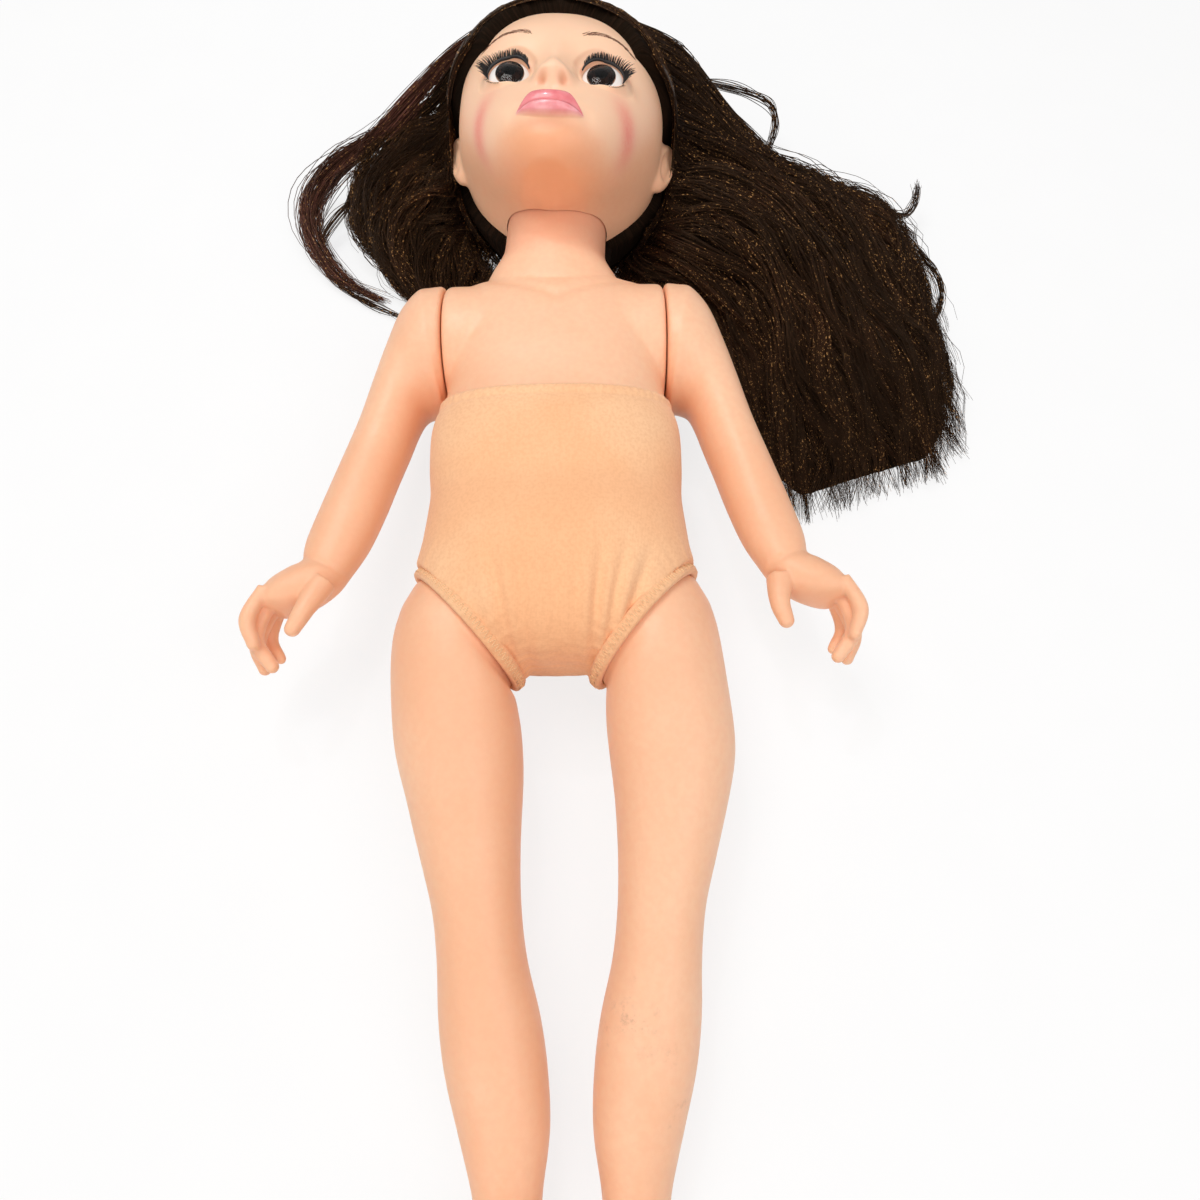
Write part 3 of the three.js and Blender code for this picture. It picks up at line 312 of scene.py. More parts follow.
def vinyl(name, extra=None):
    n = Nodes(name)
    color = skin_color(n)
    if extra:
        color = extra(n, color)
    n.join(color, "Base Color")
    if not n.shader.inputs["Roughness"].is_linked:
        n.join(n.patches(160, 3, 0.2, 0.8, 0.4, 0.52), "Roughness")
    grain = n.bump(n.noise(1500, 2), 0.12, 0.00006)
    wave = n.bump(n.noise(60, 2), 0.25, 0.0004, grain)
    n.join(wave, "Normal")
    n.set(Subsurface_Weight=0.18, Subsurface_Scale=0.004, Subsurface_Radius=(1.0, 0.45, 0.3))
    n.set(Specular_IOR_Level=0.45)
    return n.material


def scuffs(n, color):
    """Faint grey-brown rub marks on the shin."""
    marks = n.ramp(n.noise(55, 6, 0.75), 0.5, 0.72)
    streaks = n.ramp(n.noise(320, 4, 0.8), 0.42, 0.7)
    area = n.attribute("worn")
    share = n.times(n.times(marks, streaks), area)
    return n.mix(n.times(share, 0.6), color, linear(132, 96, 84))


def neck_shadow_paint(n, color):
    """The neck's painted shade under the chin, where the head shadows it: a warmer, darker tone."""
    return n.mix(n.times(n.attribute("neck"), 0.5), color, linear(236, 150, 122))


def face_paint(n, color):
    """The painted face: pale and matt, with blushed cheeks and pink lips, and painted shade under the chin,
    round the lids, in the nostrils and under the lower lip.
    """
    pale = n.mix(n.times(n.attribute("pale"), 0.75), color, linear(253, 209, 176))
    speck = n.patches(700, 3, 0.25, 0.75, 0.8, 1.0)
    blush = n.mix(n.times(n.attribute("blush"), speck), pale, linear(242, 124, 112))
    # Painted shade under the chin and jaw: a warmer orange.
    under = n.mix(n.times(n.attribute("chin"), 0.6), blush, linear(240, 160, 112))
    tone = n.patches(260, 3, 0.3, 0.7)
    pink = n.mix(tone, linear(242, 152, 156), linear(252, 178, 182))
    rose = n.mix(tone, linear(230, 124, 130), linear(240, 146, 150))
    lips = n.mix(n.attribute("lips"), under, n.mix(n.attribute("upper_lip"), pink, rose))
    mouth = n.mix(n.attribute("mouth"), lips, linear(176, 74, 82))
    n.join(n.ramp(n.attribute("lips"), 0.0, 1.0, 0.46, 0.15), "Roughness")
    # Painted shade round the lids, in the nostrils and under the lower lip.
    return n.mix(n.attribute("shade"), mouth, linear(214, 140, 104))


def cloth(name, tint=1.0):
    """Woven cloth; a tint below 1 darkens it."""
    def tone(red, green, blue):
        return linear(red * tint, green * tint, blue * tint)
    n = Nodes(name)
    place = n.place()
    bands = {"Vector": place, "Distortion": 0.8, "Detail": 1.0, "Detail Scale": 2.0}
    across = n.add("TexWave", bands | {"Scale": 620.0}, bands_direction="X").outputs["Fac"]
    along = n.add("TexWave", bands | {"Scale": 760.0}, bands_direction="Y").outputs["Fac"]
    weave = n.times(across, along)
    broad = n.patches(22, 3, 0.3, 0.7)
    base = n.mix(broad, tone(252, 192, 143), tone(255, 206, 160))
    fleck = n.patches(900, 2, 0.35, 0.7)
    shaded = n.mix(n.times(fleck, 0.25), base, tone(226, 160, 116))
    n.join(n.mix(n.ramp(weave, 0.0, 0.5, 0.1, 0.0), shaded, linear(214, 142, 100)), "Base Color")
    fuzz = n.bump(n.noise(2600, 2), 0.25, 0.0001)
    n.join(n.bump(weave, 0.3, 0.00012, fuzz), "Normal")
    n.set(Roughness=0.88, Sheen_Weight=0.25, Sheen_Roughness=0.5, Specular_IOR_Level=0.25)
    return n.material


def thread(name, color):
    n = Nodes(name)
    bands = {"Vector": n.place(), "Scale": 700.0, "Distortion": 1.5}
    twist = n.add("TexWave", bands, bands_direction="DIAGONAL").outputs["Fac"]
    n.join(n.mix(n.times(twist, 0.4), color, linear(190, 130, 92)), "Base Color")
    n.join(n.bump(twist, 0.5, 0.0001), "Normal")
    n.set(Roughness=0.7, Sheen_Weight=0.2)
    return n.material


def plain(name, color, rough):
    """A moulded or polished finish: a slight drift of colour and a fine surface."""
    n = Nodes(name)
    darker = tuple(c * 0.8 for c in color[:3]) + (1,)
    n.join(n.mix(n.patches(120, 3, 0.3, 0.7, 0.0, 0.3), color, darker), "Base Color")
    n.join(n.patches(90, 2, 0.2, 0.8, rough, rough + 0.08), "Roughness")
    n.join(n.bump(n.noise(900, 2), 0.08, 0.0001), "Normal")
    return n.material


def eye_glaze():
    """The eyeball: a white with a faint warm painted shade towards its rim, under the lids, a dark ringed
    iris with streaks, and a black pupil.
    """
    n = Nodes("eyeball")
    away = n.attribute("away")
    streaks = n.noise(900, 3, 0.6)
    white = n.mix(n.patches(200, 2, 0.3, 0.7, 0.0, 0.5), linear(245, 241, 236), linear(232, 222, 214))
    # Painted shade: the white turns darker and warmer towards its edge, under the lids.
    white = n.mix(n.ramp(away, 7.0, 9.6), white, linear(214, 190, 178))
    brown = n.mix(n.ramp(streaks, 0.35, 0.65), linear(14, 7, 5), linear(44, 24, 17))
    iris = n.mix(n.ramp(away, 2.2, 2.7), linear(5, 4, 4), brown)
    iris = n.mix(n.ramp(away, 4.3, 4.9), iris, linear(12, 7, 6))
    n.join(n.mix(n.ramp(away, IRIS_RADIUS - 0.15, IRIS_RADIUS + 0.15), iris, white), "Base Color")
    n.join(n.patches(60, 2, 0.3, 0.7, 0.2, 0.28), "Roughness")
    n.set(Specular_IOR_Level=0.06)
    return n.material


def lens_glass():
    n = Nodes("eye_lens_glass")
    n.join(n.patches(80, 2, 0.3, 0.7, 0.01, 0.03), "Roughness")
    n.set(Base_Color=(1, 1, 1, 1), Transmission_Weight=1.0, IOR=1.2, Specular_IOR_Level=0.5)
    return n.material


def hair_fibre(name, deep, light):
    """Dark brown fibre: each strand has its own tone, and a few carry copper specks, painted highlights of
    light catching the fibre.
    """
    n = Nodes(name)
    shade = n.attribute("strand")
    broad = n.patches(26, 3, 0.4, 0.75)
    dark = n.mix(n.times(shade, 0.25), deep, light)
    warm = n.mix(n.math("POWER", shade, 1.6), deep, light)
    body = n.mix(broad, dark, warm)
    # Painted highlights: copper specks on the lighter strands.
    speck = n.times(n.patches(1050, 1, 0.62, 0.7), n.ramp(shade, 0.35, 0.8))
    n.join(n.mix(speck, body, PAINTED_GLINT), "Base Color")
    n.join(n.patches(300, 2, 0.3, 0.7, 0.3, 0.44), "Roughness")
    n.set(Specular_IOR_Level=0.5, Specular_Tint=GLOSS)
    return n.material


def hair_mass():
    """The dark body of hair under the loose strands, grooved along its locks."""
    n = Nodes("hair_mass")
    along = n.add("Attribute", attribute_name="flow").outputs["Vector"]
    groove = n.noise(1.0, 3, 0.6, along)
    n.join(n.mix(n.ramp(groove, 0.4, 0.7), linear(9, 6, 5), linear(28, 17, 12)), "Base Color")
    n.join(n.bump(groove, 0.8, 0.0012), "Normal")
    n.set(Roughness=0.72, Specular_IOR_Level=0.18, Specular_Tint=GLOSS)
    return n.material


def floor_paper():
    n = Nodes("floor_paper")
    n.join(n.mix(n.patches(30, 2, 0.3, 0.7), (0.9, 0.9, 0.9, 1), (0.92, 0.92, 0.92, 1)), "Base Color")
    n.set(Roughness=0.9, Specular_IOR_Level=0.1)
    rays = n.add("LightPath").outputs
    indirect = n.math("MAXIMUM", rays["Is Glossy Ray"], rays["Is Transmission Ray"])
    seen = n.math("MAXIMUM", rays["Is Camera Ray"], indirect)
    glow = n.add("Emission", {"Color": (1, 1, 1, 1), "Strength": 1.0}).outputs[0]
    share = n.times(seen, FLOOR_WHITE)
    both = n.add("MixShader", {0: share, 1: n.shader.outputs[0], 2: glow}).outputs[0]
    n.tree.links.new(both, n.output.inputs["Surface"])
    return n.material


def studio():
    floor = bpy.data.meshes.new("floor")
    corners = [(x * FLOOR_REACH, y * FLOOR_REACH, 0) for x, y in ((-1, -1), (1, -1), (1, 1), (-1, 1))]
    floor.from_pydata(corners, [], [(0, 1, 2, 3)])
    floor.materials.append(floor_paper())
    added("floor", floor)
    for values in LAMPS:
        lamp(*values)
    world = bpy.data.worlds.new("studio")
    world.use_nodes = True
    back = world.node_tree.nodes["Background"]
    rays = world.node_tree.nodes.new("ShaderNodeLightPath")
    share = world.node_tree.nodes.new("ShaderNodeMapRange")
    share.inputs["To Min"].default_value = PLAIN_LIGHT
    share.inputs["To Max"].default_value = 1.0
    world.node_tree.links.new(rays.outputs["Is Camera Ray"], share.inputs["Value"])
    world.node_tree.links.new(share.outputs["Result"], back.inputs["Strength"])
    back.inputs["Color"].default_value = (1, 1, 1, 1)
    SCENE.world = world
    SCENE.view_settings.view_transform = "Standard"


# Shape helpers
def smooth_rows(rows, steps):
    """Rows of numbers joined by smooth curves, with so many steps between each two."""
    rows = np.array(rows, float)
    padded = np.vstack([2 * rows[0] - rows[1], rows, 2 * rows[-1] - rows[-2]])
    made = []
    for i in range(len(rows) - 1):
        a, b, c, d = padded[i:i + 4]
        for k in range(steps):
            t = k / steps
            made.append(0.5 * (2 * b + (c - a) * t + (2 * a - 5 * b + 4 * c - d) * t * t
                               + (3 * b - a - 3 * c + d) * t ** 3))
    made.append(rows[-1])
    return np.array(made)


def angles(count):
    turn = np.arange(count) / count * 2 * np.pi
    return np.cos(turn), np.sin(turn)


def squared(count, squareness):
    c, s = angles(count)
    power = 2 / squareness
    return np.sign(c) * np.abs(c) ** power, np.sign(s) * np.abs(s) ** power


def level_rings(levels, squareness, inset, count):
    """Rings across the doll from rows of place, half width, back and front."""
    c, s = squared(count, squareness)
    rings = []
    for y, half, back, front in levels:
        middle, deep = (back + front) / 2, (front - back) / 2 - inset
        rings.append(np.stack([c * (half - inset), np.full(count, y), middle + s * deep], 1))
    return rings


def grid_faces(rows, count):
    """The faces between rings of so many points, each closed on itself."""
    faces = []
    for i in range(rows - 1):
        for j in range(count):
            k = (j + 1) % count
            faces.append((i * count + j, i * count + k, (i + 1) * count + k, (i + 1) * count + j))
    return faces


def loft(rings):
    """Points and faces of a closed skin through rings, with a fan over both ends."""
    count = len(rings[0])
    points = list(np.concatenate(rings))
    faces = grid_faces(len(rings), count)
    base = (len(rings) - 1) * count
    first, last = len(points), len(points) + 1
    points += [rings[0].mean(0), rings[-1].mean(0)]
    for j in range(count):
        k = (j + 1) % count
        faces += [(first, k, j), (last, base + j, base + k)]
    return np.array(points), faces


def joined(parts):
    points, faces, start = [], [], 0
    for p, f in parts:
        points.append(p)
        faces += [tuple(i + start for i in face) for face in f]
        start += len(p)
    return np.concatenate(points), faces


def shade_smooth(mesh):
    mesh.polygons.foreach_set("use_smooth", [True] * len(mesh.polygons))


def piece(name, part, material):
    """A new object from points in millimetres and faces, smooth shaded and facing out."""
    points, faces = part
    mesh = bpy.data.meshes.new(name)
    mesh.from_pydata([tuple(p) for p in np.asarray(points) * MM], [], faces)
    mesh.validate()
    form = bmesh.new()
    form.from_mesh(mesh)
    bmesh.ops.recalc_face_normals(form, faces=form.faces)
    form.to_mesh(mesh)
    form.free()
    shade_smooth(mesh)
    mesh.materials.append(material)
    return added(name, mesh)


def bake(made):
    """Turns the object's modifiers into its mesh."""
    bpy.context.view_layer.update()
    graph = bpy.context.evaluated_depsgraph_get()
    mesh = bpy.data.meshes.new_from_object(made.evaluated_get(graph))
    made.modifiers.clear()
    made.data = mesh
    shade_smooth(mesh)


def melt(made, voxel, rounds):
    """Melts overlapping skins into one even skin, and smooths it."""
    melted = made.modifiers.new("melt", "REMESH")
    melted.mode = "VOXEL"
    melted.voxel_size = voxel * MM
    if rounds:
        eased = made.modifiers.new("ease", "SMOOTH")
        eased.iterations = rounds
    bake(made)


def point_values(made, kind):
    flat = np.zeros(len(made.data.vertices) * 3)
    made.data.vertices.foreach_get(kind, flat)
    return flat.reshape(-1, 3)


def points_of(made):
    return point_values(made, "co") / MM


def normals_of(made):
    return point_values(made, "normal")


def set_points(made, points):
    made.data.vertices.foreach_set("co", (points * MM).astype(np.float32).ravel())
    made.data.update()


def paint(made, name, values):
    """Stores a number or a vector with each point, for the material to read."""
    values = np.asarray(values, np.float32)
    kind, field = ("FLOAT", "value") if values.ndim == 1 else ("FLOAT_VECTOR", "vector")
    made.data.attributes.new(name, kind, "POINT").data.foreach_set(field, values.ravel())


def hill(distance, width):
    return np.exp(-0.5 * (distance / width) ** 2)


def step(value, low, high):
    t = np.clip((value - low) / (high - low), 0, 1)
    return t * t * (3 - 2 * t)


def egg(centre, radii, count):
    """A closed egg round a centre, in rings along its third direction."""
    c, s = angles(count)
    rings = []
    for lift in np.linspace(-1, 1, count // 2 + 3)[1:-1] * np.pi / 2:
        wide = math.cos(lift)
        height = np.full(count, math.sin(lift) * radii[2])
        rings.append(np.array(centre) + np.stack([c * wide * radii[0], s * wide * radii[1], height], 1))
    return loft(rings)


def tube(line, radii, sides):
    """A closed tube along a line of points, with a radius at each."""
    line = np.asarray(line, float)
    along = np.gradient(line, axis=0)
    along /= np.linalg.norm(along, axis=1)[:, None]
    side = np.cross(along, (0.13, 0.21, 0.97))
    side /= np.linalg.norm(side, axis=1)[:, None]
    other = np.cross(along, side)
    c, s = angles(sides)
    radii = np.broadcast_to(np.asarray(radii, float), (len(line),))
    return loft([p + r * (np.outer(c, u) + np.outer(s, v)) for p, u, v, r in zip(line, side, other, radii)])


def moved_by(points, matrix):
    return points @ np.array(matrix.to_3x3()).T + np.array(matrix.translation)


def placed(part, matrix):
    return moved_by(part[0], matrix), part[1]


def frame_along(centre, axis):
    """The frame whose third direction is an axis through a centre."""
    turn = Vector(axis).normalized().to_track_quat("Z", "Y").to_matrix().to_4x4()
    return Matrix.Translation(Vector(centre)) @ turn


def turned_profile(profile, count=96):
    """A closed body of revolution round the third direction from (radius, height) points."""
    c, s = angles(count)
    return loft([np.stack([c * r, s * r, np.full(count, h)], 1) for r, h in profile])


NECK_FRAME = Matrix.Translation(Vector(NECK_TOP)) @ Matrix.Rotation(-math.radians(HEAD_LEAN), 4, "Z")


# Shoulder plate
# The neck's flare into the plate: height, how far past the neck's radius it goes across, and half its depth
NECK_FLARE = ((124, 9, 18.2), (131, 7.4, 19), (136, 5.2, 19.6), (138.6, 3.7, 19.9), (NECK_FOOT_Y, 2.4, 20.2),
              (145, 0.8, 20.4), (150, 0.1, NECK_RADIUS), (160, 0, NECK_RADIUS), (NECK_TOP[1], 0, NECK_RADIUS))
# The rounded edge of the shoulder disc: its width, and how near its middle comes to both faces
DISC_EDGE = 2.2
DISC_ROUND = 0.6


def shoulder_plate(material):
    skirt = [row for row in reversed(TORSO_LEVELS) if row[0] > PLATE_LOW_Y + 1]
    low = [(PLATE_LOW_Y, 47.1, 0, 64.2)] + skirt
    rings = level_rings(smooth_rows(low, 6), TORSO_SQUARENESS, CLOTH_LIFT, 120)
    rings += level_rings(smooth_rows(PLATE_LEVELS, 5), PLATE_SQUARENESS, 0, 120)
    body = loft(rings)
    lean = math.radians(HEAD_LEAN)
    c, s = angles(96)
    neck = []
    for y, more, deep in NECK_FLARE:
        radius = NECK_RADIUS + more
        shift = NECK_TOP[0] + (max(y, NECK_STRAIGHT_Y) - NECK_TOP[1]) * math.tan(lean)
        across = y - c * radius * math.sin(lean)
        neck.append(np.stack([shift + c * radius, across, NECK_TOP[2] + s * deep], 1))
    reach, radius = SHOULDER[0], SHOULDER_RADIUS
    disc = turned_profile([(radius - DISC_EDGE, -reach), (radius - DISC_ROUND, -reach + DISC_ROUND),
                           (radius, -reach + DISC_EDGE), (radius, reach - DISC_EDGE),
                           (radius - DISC_ROUND, reach - DISC_ROUND), (radius - DISC_EDGE, reach)])
    barrel = placed(disc, frame_along((0, SHOULDER[1], SHOULDER[2]), (1, 0, 0)))
    made = piece("shoulder_plate_vinyl", joined([body, loft(neck), barrel]), material)
    melt(made, SKIN_VOXEL, 14)
    points, normals = points_of(made), normals_of(made)
    x, y, z = points.T
    front = step(z, 40, 50)
    side = np.abs(x - 1.5)
    run = 112 + 13.5 * (side / 27) ** 0.8
    crease = hill(y - run, 2.2) * step(30 - side, 0, 8) * front
    above = hill(y - run - 6, 4.5) * step(28 - side, 0, 8) * front
    notch = hill(x - 8, 2.5) * hill(y - 100, 6) * front
    points += normals * (-0.75 * crease + 0.45 * above - 0.3 * notch)[:, None]
    set_points(made, points)
    # Painted shade on the neck under the chin, strongest towards the head.
    paint(made, "neck", step(y, 133, 143) * (0.55 + 0.45 * step(y, 150, 166)))
    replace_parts(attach(made, "torso"), "shoulder_plate")


# Arms
def rib_rings(ribs, mirror, steps, count):
    """Rings of a limb from rows of inner and outer outline, depth and level."""
    c, s = squared(count, LIMB_SQUARENESS)
    rings = []
    for inner_x, inner_y, outer_x, outer_y, deep, level in smooth_rows(ribs, steps):
        inner = np.array((mirror * inner_x, inner_y))
        outer = np.array((mirror * outer_x, outer_y))
        flat = (inner + outer) / 2 + np.outer(c, (outer - inner) / 2)
        rings.append(np.column_stack([flat, level + s * deep]))
    return rings


def finger_parts(root, bend, tip, radius, mirror, full):
    """A finger with its bend and a round tip, from points about the shoulder's centre."""
    line = np.array([root, bend, tip]) * (mirror, 1, 1) + (mirror * SHOULDER[0], SHOULDER[1], SHOULDER[2])
    smooth = smooth_rows(line, 8)
    radii = radius * np.interp(np.linspace(0, 1, len(smooth)), (0, 0.3, 0.5, 0.75, 1), full)
    end = egg(smooth[-1], [radius * full[-1] * 1.02] * 3, 14)
    return [tube(smooth, radii, 14), end]


# The arm's end at the shoulder: how far out each ring is, and its radius
ARM_END = ((JOINT_GAP, 22.6), (0.8, 23.7))


def arm(name, mirror, material):
    x, y, z = SHOULDER
    count = 72
    c, s = angles(count)
    rings = []
    for out, radius in ARM_END:
        rings.append(np.column_stack([np.full(count, mirror * (x + out)), y + c * radius, z + s * radius]))
    ribs = [(x + a, y + b, x + d, y + e, deep, z + rise)
            for a, b, d, e, deep, rise in ARM_RIBS]
    rings += rib_rings(ribs, mirror, 6, count)
    parts = [loft(rings)]
    for digit in FINGERS:
        parts += finger_parts(*digit, mirror, FINGER_FULL)
    parts += finger_parts(*THUMBS[name], mirror, THUMB_FULL)
    made = piece(name + "_arm_vinyl", joined(parts), material)
    melt(made, HAND_VOXEL, 10)
    points, normals = points_of(made), normals_of(made)
    crease = (mirror * (x + 38.5), y - 98, z + 6)
    wrist = (points - crease) @ (mirror * 0.42, -0.91, 0)
    inner = step(points[:, 2], z + 5, z + 13)
    points -= normals * (0.55 * hill(wrist, 0.9) * inner)[:, None]
    set_points(made, points)
    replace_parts(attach(made, name + "_arm"), name + "_arm_shell")


# Legs
def hip_centre(mirror):
    return np.array((mirror * HIP[0], HIP[1], HIP[2]))


def hip_axis(mirror):
    """The direction in which a hip joint's axis leaves the torso."""
    angle = math.radians(HIP_AXIS)
    return np.array((mirror * math.cos(angle), math.sin(angle), 0))


def hip_frame(mirror):
    return frame_along(hip_centre(mirror), hip_axis(mirror))


def in_hip(points, mirror):
    """Points in a hip joint's frame, whose third direction is its axis."""
    return moved_by(points, hip_frame(mirror).inverted())


def leg(name, mirror, material):
    count = 96
    c, s = angles(count)
    axis = hip_axis(mirror)
    across = np.array((-axis[1], axis[0], 0)) * mirror
    round_ring = np.outer(c, across) + np.outer(s, (0, 0, 1))
    rings = [hip_centre(mirror) + axis * LEG_START + LEG_END_RADIUS * round_ring]
    for out in (LEG_START + 0.6, 0, HEM_REACH):
        rings.append(hip_centre(mirror) + axis * out + LEG_TOP_RADIUS * round_ring)
    ribs = [(a, HIP[1] + b, d, HIP[1] + e, deep, level) for a, b, d, e, deep, level in LEG_RIBS]
    for ring in rib_rings(ribs, mirror, 5, count):
        ring[:, 0] += LEG_SHIFT * step(HIP[1] - ring[:, 1], 0, LEG_SHIFT_OVER)
        rings.append(ring)
    parts = [loft(rings)]
    middle = mirror * FOOT_X + LEG_SHIFT
    c, s = squared(count, FOOT_SQUARENESS)
    foot = []
    for z, half, tall in smooth_rows(FOOT_LEVELS, 4):
        lift = np.maximum(SOLE_Y - 1.2 + tall / 2 * (1 + s), SOLE_Y)
        foot.append(np.column_stack([middle + c * half, lift, np.full(count, z)]))
    parts.append(loft(foot))
    made = piece(name + "_leg_vinyl", joined(parts), material)
    melt(made, SKIN_VOXEL, 22)
    points, normals = points_of(made), normals_of(made)
    x, y, z = points.T
    knee = hill(y - HIP[1] + 106, 9) * hill(x - mirror * 27 - LEG_SHIFT, 9) * step(z, 26, 38)
    points += normals * (0.8 * knee)[:, None]
    toe_line = (x - middle) * mirror
    toes = step(y, SOLE_Y + 1.5, SOLE_Y + 4) * step(-y, -SOLE_Y - 32, -SOLE_Y - 24)
    for place in TOE_GAPS:
        groove = hill(toe_line - place, 0.6) * step(z, 51.5, 55) * toes
        points -= normals * (1.5 * groove)[:, None]
    set_points(made, points)
    worn = np.zeros(len(points))
    for strength, across, wide, along, tall in WORN_SPOTS if name == "left" else ():
        worn += strength * hill(x - across, wide) * hill(y - along, tall)
    paint(made, "worn", worn)
    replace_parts(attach(made, name + "_leg"), name + "_leg_shell")


# Cloth torso
# The rounding of its lower end: how far in and down each ring is
TORSO_END = ((6, 0.4), (1.4, 0.2), (0.35, 0.0), (0, 0.5))


def torso_rings():
    rows = [row for row in TORSO_LEVELS if row[0] < CLOTH_TOP[0] + 1]
    rings = []
    y0, half, back, front = rows[0]
    for inset, drop in TORSO_END:
        rings += level_rings([(y0 - drop, half, back, front)], TORSO_SQUARENESS, inset, 144)
    rings += level_rings(smooth_rows(rows, 6)[1:], TORSO_SQUARENESS, 0, 144)
    for ring in rings:
        share = step(ring[0, 1], 40, CLOTH_TOP[0])
        ring[:, 1] -= CLOTH_TOP[2] * (ring[:, 2] - CLOTH_TOP[1]) * share
    return rings


# The stuffing's simulation: its coarse form, frames and pressure, and the furthest that it moves a point
SIM_VOXEL = 4.5
SIM_FRAMES = 20
SIM_PRESSURE = 4
STUFFED_MOST = 1.6
# The front's folds above the crotch: place, lean, width and depth
FOLDS = ((13, 0.1, 1.5, 0.9), (17, 0.22, 1.3, 0.8), (21.5, 0.34, 1.6, 0.8), (8, 0.02, 1.7, 0.5),
         (-14, -0.2, 1.5, 0.7), (-9, -0.06, 1.6, 0.45), (2, 0, 2.2, 0.35))
FOLD_DEPTH = 2.1


def stuffed(made):
    """Fills the closed cloth form a little, as stuffing does, in a coarse copy that the fine form follows."""
    points = points_of(made)
    coarse = added("stuffing_form", made.data.copy())
    melt(coarse, SIM_VOXEL, 0)
    before = points_of(coarse)
    group = coarse.vertex_groups.new(name="held")
    for index, share in enumerate(cloth_held(before)):
        if share > 0.02:
            group.add([index], float(share), "REPLACE")
    cloth_sim = coarse.modifiers.new("cloth", "CLOTH")
    cloth_sim.settings.vertex_group_mass = "held"
    cloth_sim.settings.use_pressure = True
    cloth_sim.settings.uniform_pressure_force = SIM_PRESSURE
    cloth_sim.settings.effector_weights.gravity = 0
    cloth_sim.point_cache.frame_end = SIM_FRAMES
    for at in range(1, SIM_FRAMES + 1):
        SCENE.frame_set(at)
    bake(coarse)
    shift = points_of(coarse) - before
    far = np.linalg.norm(shift, axis=1)[:, None]
    shift *= np.minimum(1, STUFFED_MOST / np.maximum(far, 1e-6))
    SCENE.frame_set(1)
    bpy.data.objects.remove(coarse)
    tree = KDTree(len(before))
    for index, place in enumerate(before):
        tree.insert(place, index)
    tree.balance()
    moved = np.zeros_like(points)
    for index, place in enumerate(points):
        near = tree.find_n(place, 6)
        weight = np.array([1 / (away + 0.5) ** 2 for _, _, away in near])
        moved[index] = (shift[[k for _, k, _ in near]] * weight[:, None]).sum(0) / weight.sum()
    set_points(made, points + moved)


def cloth_held(points):
    """1 where the torso's cloth is held: at its gathered top edge and round the leg openings."""
    _, y, z = points.T
    hold = step(y + CLOTH_TOP[2] * (z - CLOTH_TOP[1]), CLOTH_TOP[0] - 12, CLOTH_TOP[0] - 3)
    for _, mirror in SIDES:
        a, b, out = in_hip(points, mirror).T
        hold = np.maximum(hold, step(out, -12, -6) * step(30 - np.hypot(a, b), 0, 2))
    return np.maximum(hold, step(-y, 16, 22))


def gathers(points):
    """How far the cloth's puckers round the leg hems, and its folds at the crotch, lift each point."""
    x, y, z = points.T
    lift = np.zeros(len(points))
    for _, mirror in SIDES:
        a, b, out = in_hip(points, mirror).T
        turn = np.arctan2(b, a)
        inward = np.clip(-out - 3, 0, None)
        near = np.exp(-inward / 9) * step(np.hypot(a, b), 15, 20)
        crotch = step(-mirror * x + 34, 0, 26)
        pucker = np.sin(turn * 31 + 1.8 * np.sin(turn * 5 + mirror)) + 0.6 * np.sin(turn * 53 + 2 * mirror)
        lift += near * pucker * (0.1 + 0.12 * crotch)
    low = step(-y, -14, 12)
    front = step(z, 24, 44)
    for place, lean, width, deep in FOLDS:
        line = place + lean * (y + 26) - x
        lift -= FOLD_DEPTH * deep * hill(line, width) * low * front
        lift += 0.6 * FOLD_DEPTH * deep * hill(line - 2.6 * width, 1.3 * width) * low * front
    return lift


def torso_cloth(material):
    parts = [loft(torso_rings())]
    for _, mirror in SIDES:
        radius, full, foot, taper = HIP_SLEEVE
        sleeve = turned_profile([(radius - taper, -foot), (radius, -full), (radius, 0)])
        parts.append(placed(sleeve, hip_frame(mirror)))
    made = piece("cloth_torso", joined(parts), material)
    melt(made, SKIN_VOXEL, 12)
    points = points_of(made)
    for _, mirror in SIDES:
        axis = hip_axis(mirror)
        out = (points - hip_centre(mirror)) @ axis
        points -= axis * np.clip(out - (LEG_START - 0.4), 0, None)[:, None]
    set_points(made, points)
    stuffed(made)
    points = points_of(made)
    normals = normals_of(made)
    lift = gathers(points)
    x, y, z = points.T
    seam = hill(z - SIDE_SEAM_Z, 0.7) * step(np.abs(x), 38, 42)
    under = CLOTH_TOP[0] - CLOTH_TOP[2] * (z - CLOTH_TOP[1]) - y
    turn = np.arctan2(z - CLOTH_TOP[1], x)
    fading = np.exp(-np.clip(under, 0, None) / 3.5)
    lift += 0.28 * np.sin(turn * 74 + 2.5 * np.sin(turn * 9)) * fading * step(under, 0.2, 1.2)
    lift -= 0.45 * seam
    lift += 0.35 * hill(under - 1.6, 1.1) - 0.3 * hill(under - 4.2, 0.7)
    lift -= 0.5 * hill(y - 37 - 0.0016 * x * x, 4) * step(z, 30, 50)
    points += normals * lift[:, None]
    points[:, 2] = np.maximum(points[:, 2], 0)
    set_points(made, points)
    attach(made, "torso")
    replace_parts(made, "cloth_body_front", "cloth_body_back", "body_stuffing")


# The hem's band: radius, place along the hip's axis, half thickness and half width
HEM_BAND = (26.1, -2.3, 1.5, 2.5)
HEM_SQUARENESS = 3
# Zigzags of stitches round a hem, half their height, and the thread's radius
STITCH_TURNS = 88
STITCH_HALF = 1.3
THREAD_RADIUS = 0.2


def hem_radius(turn):
    """The radius of the hem's middle at a turn round the leg, with its small puckers."""
    return HEM_BAND[0] + 0.12 * math.sin(turn * 37 + math.sin(turn * 11) * 2)


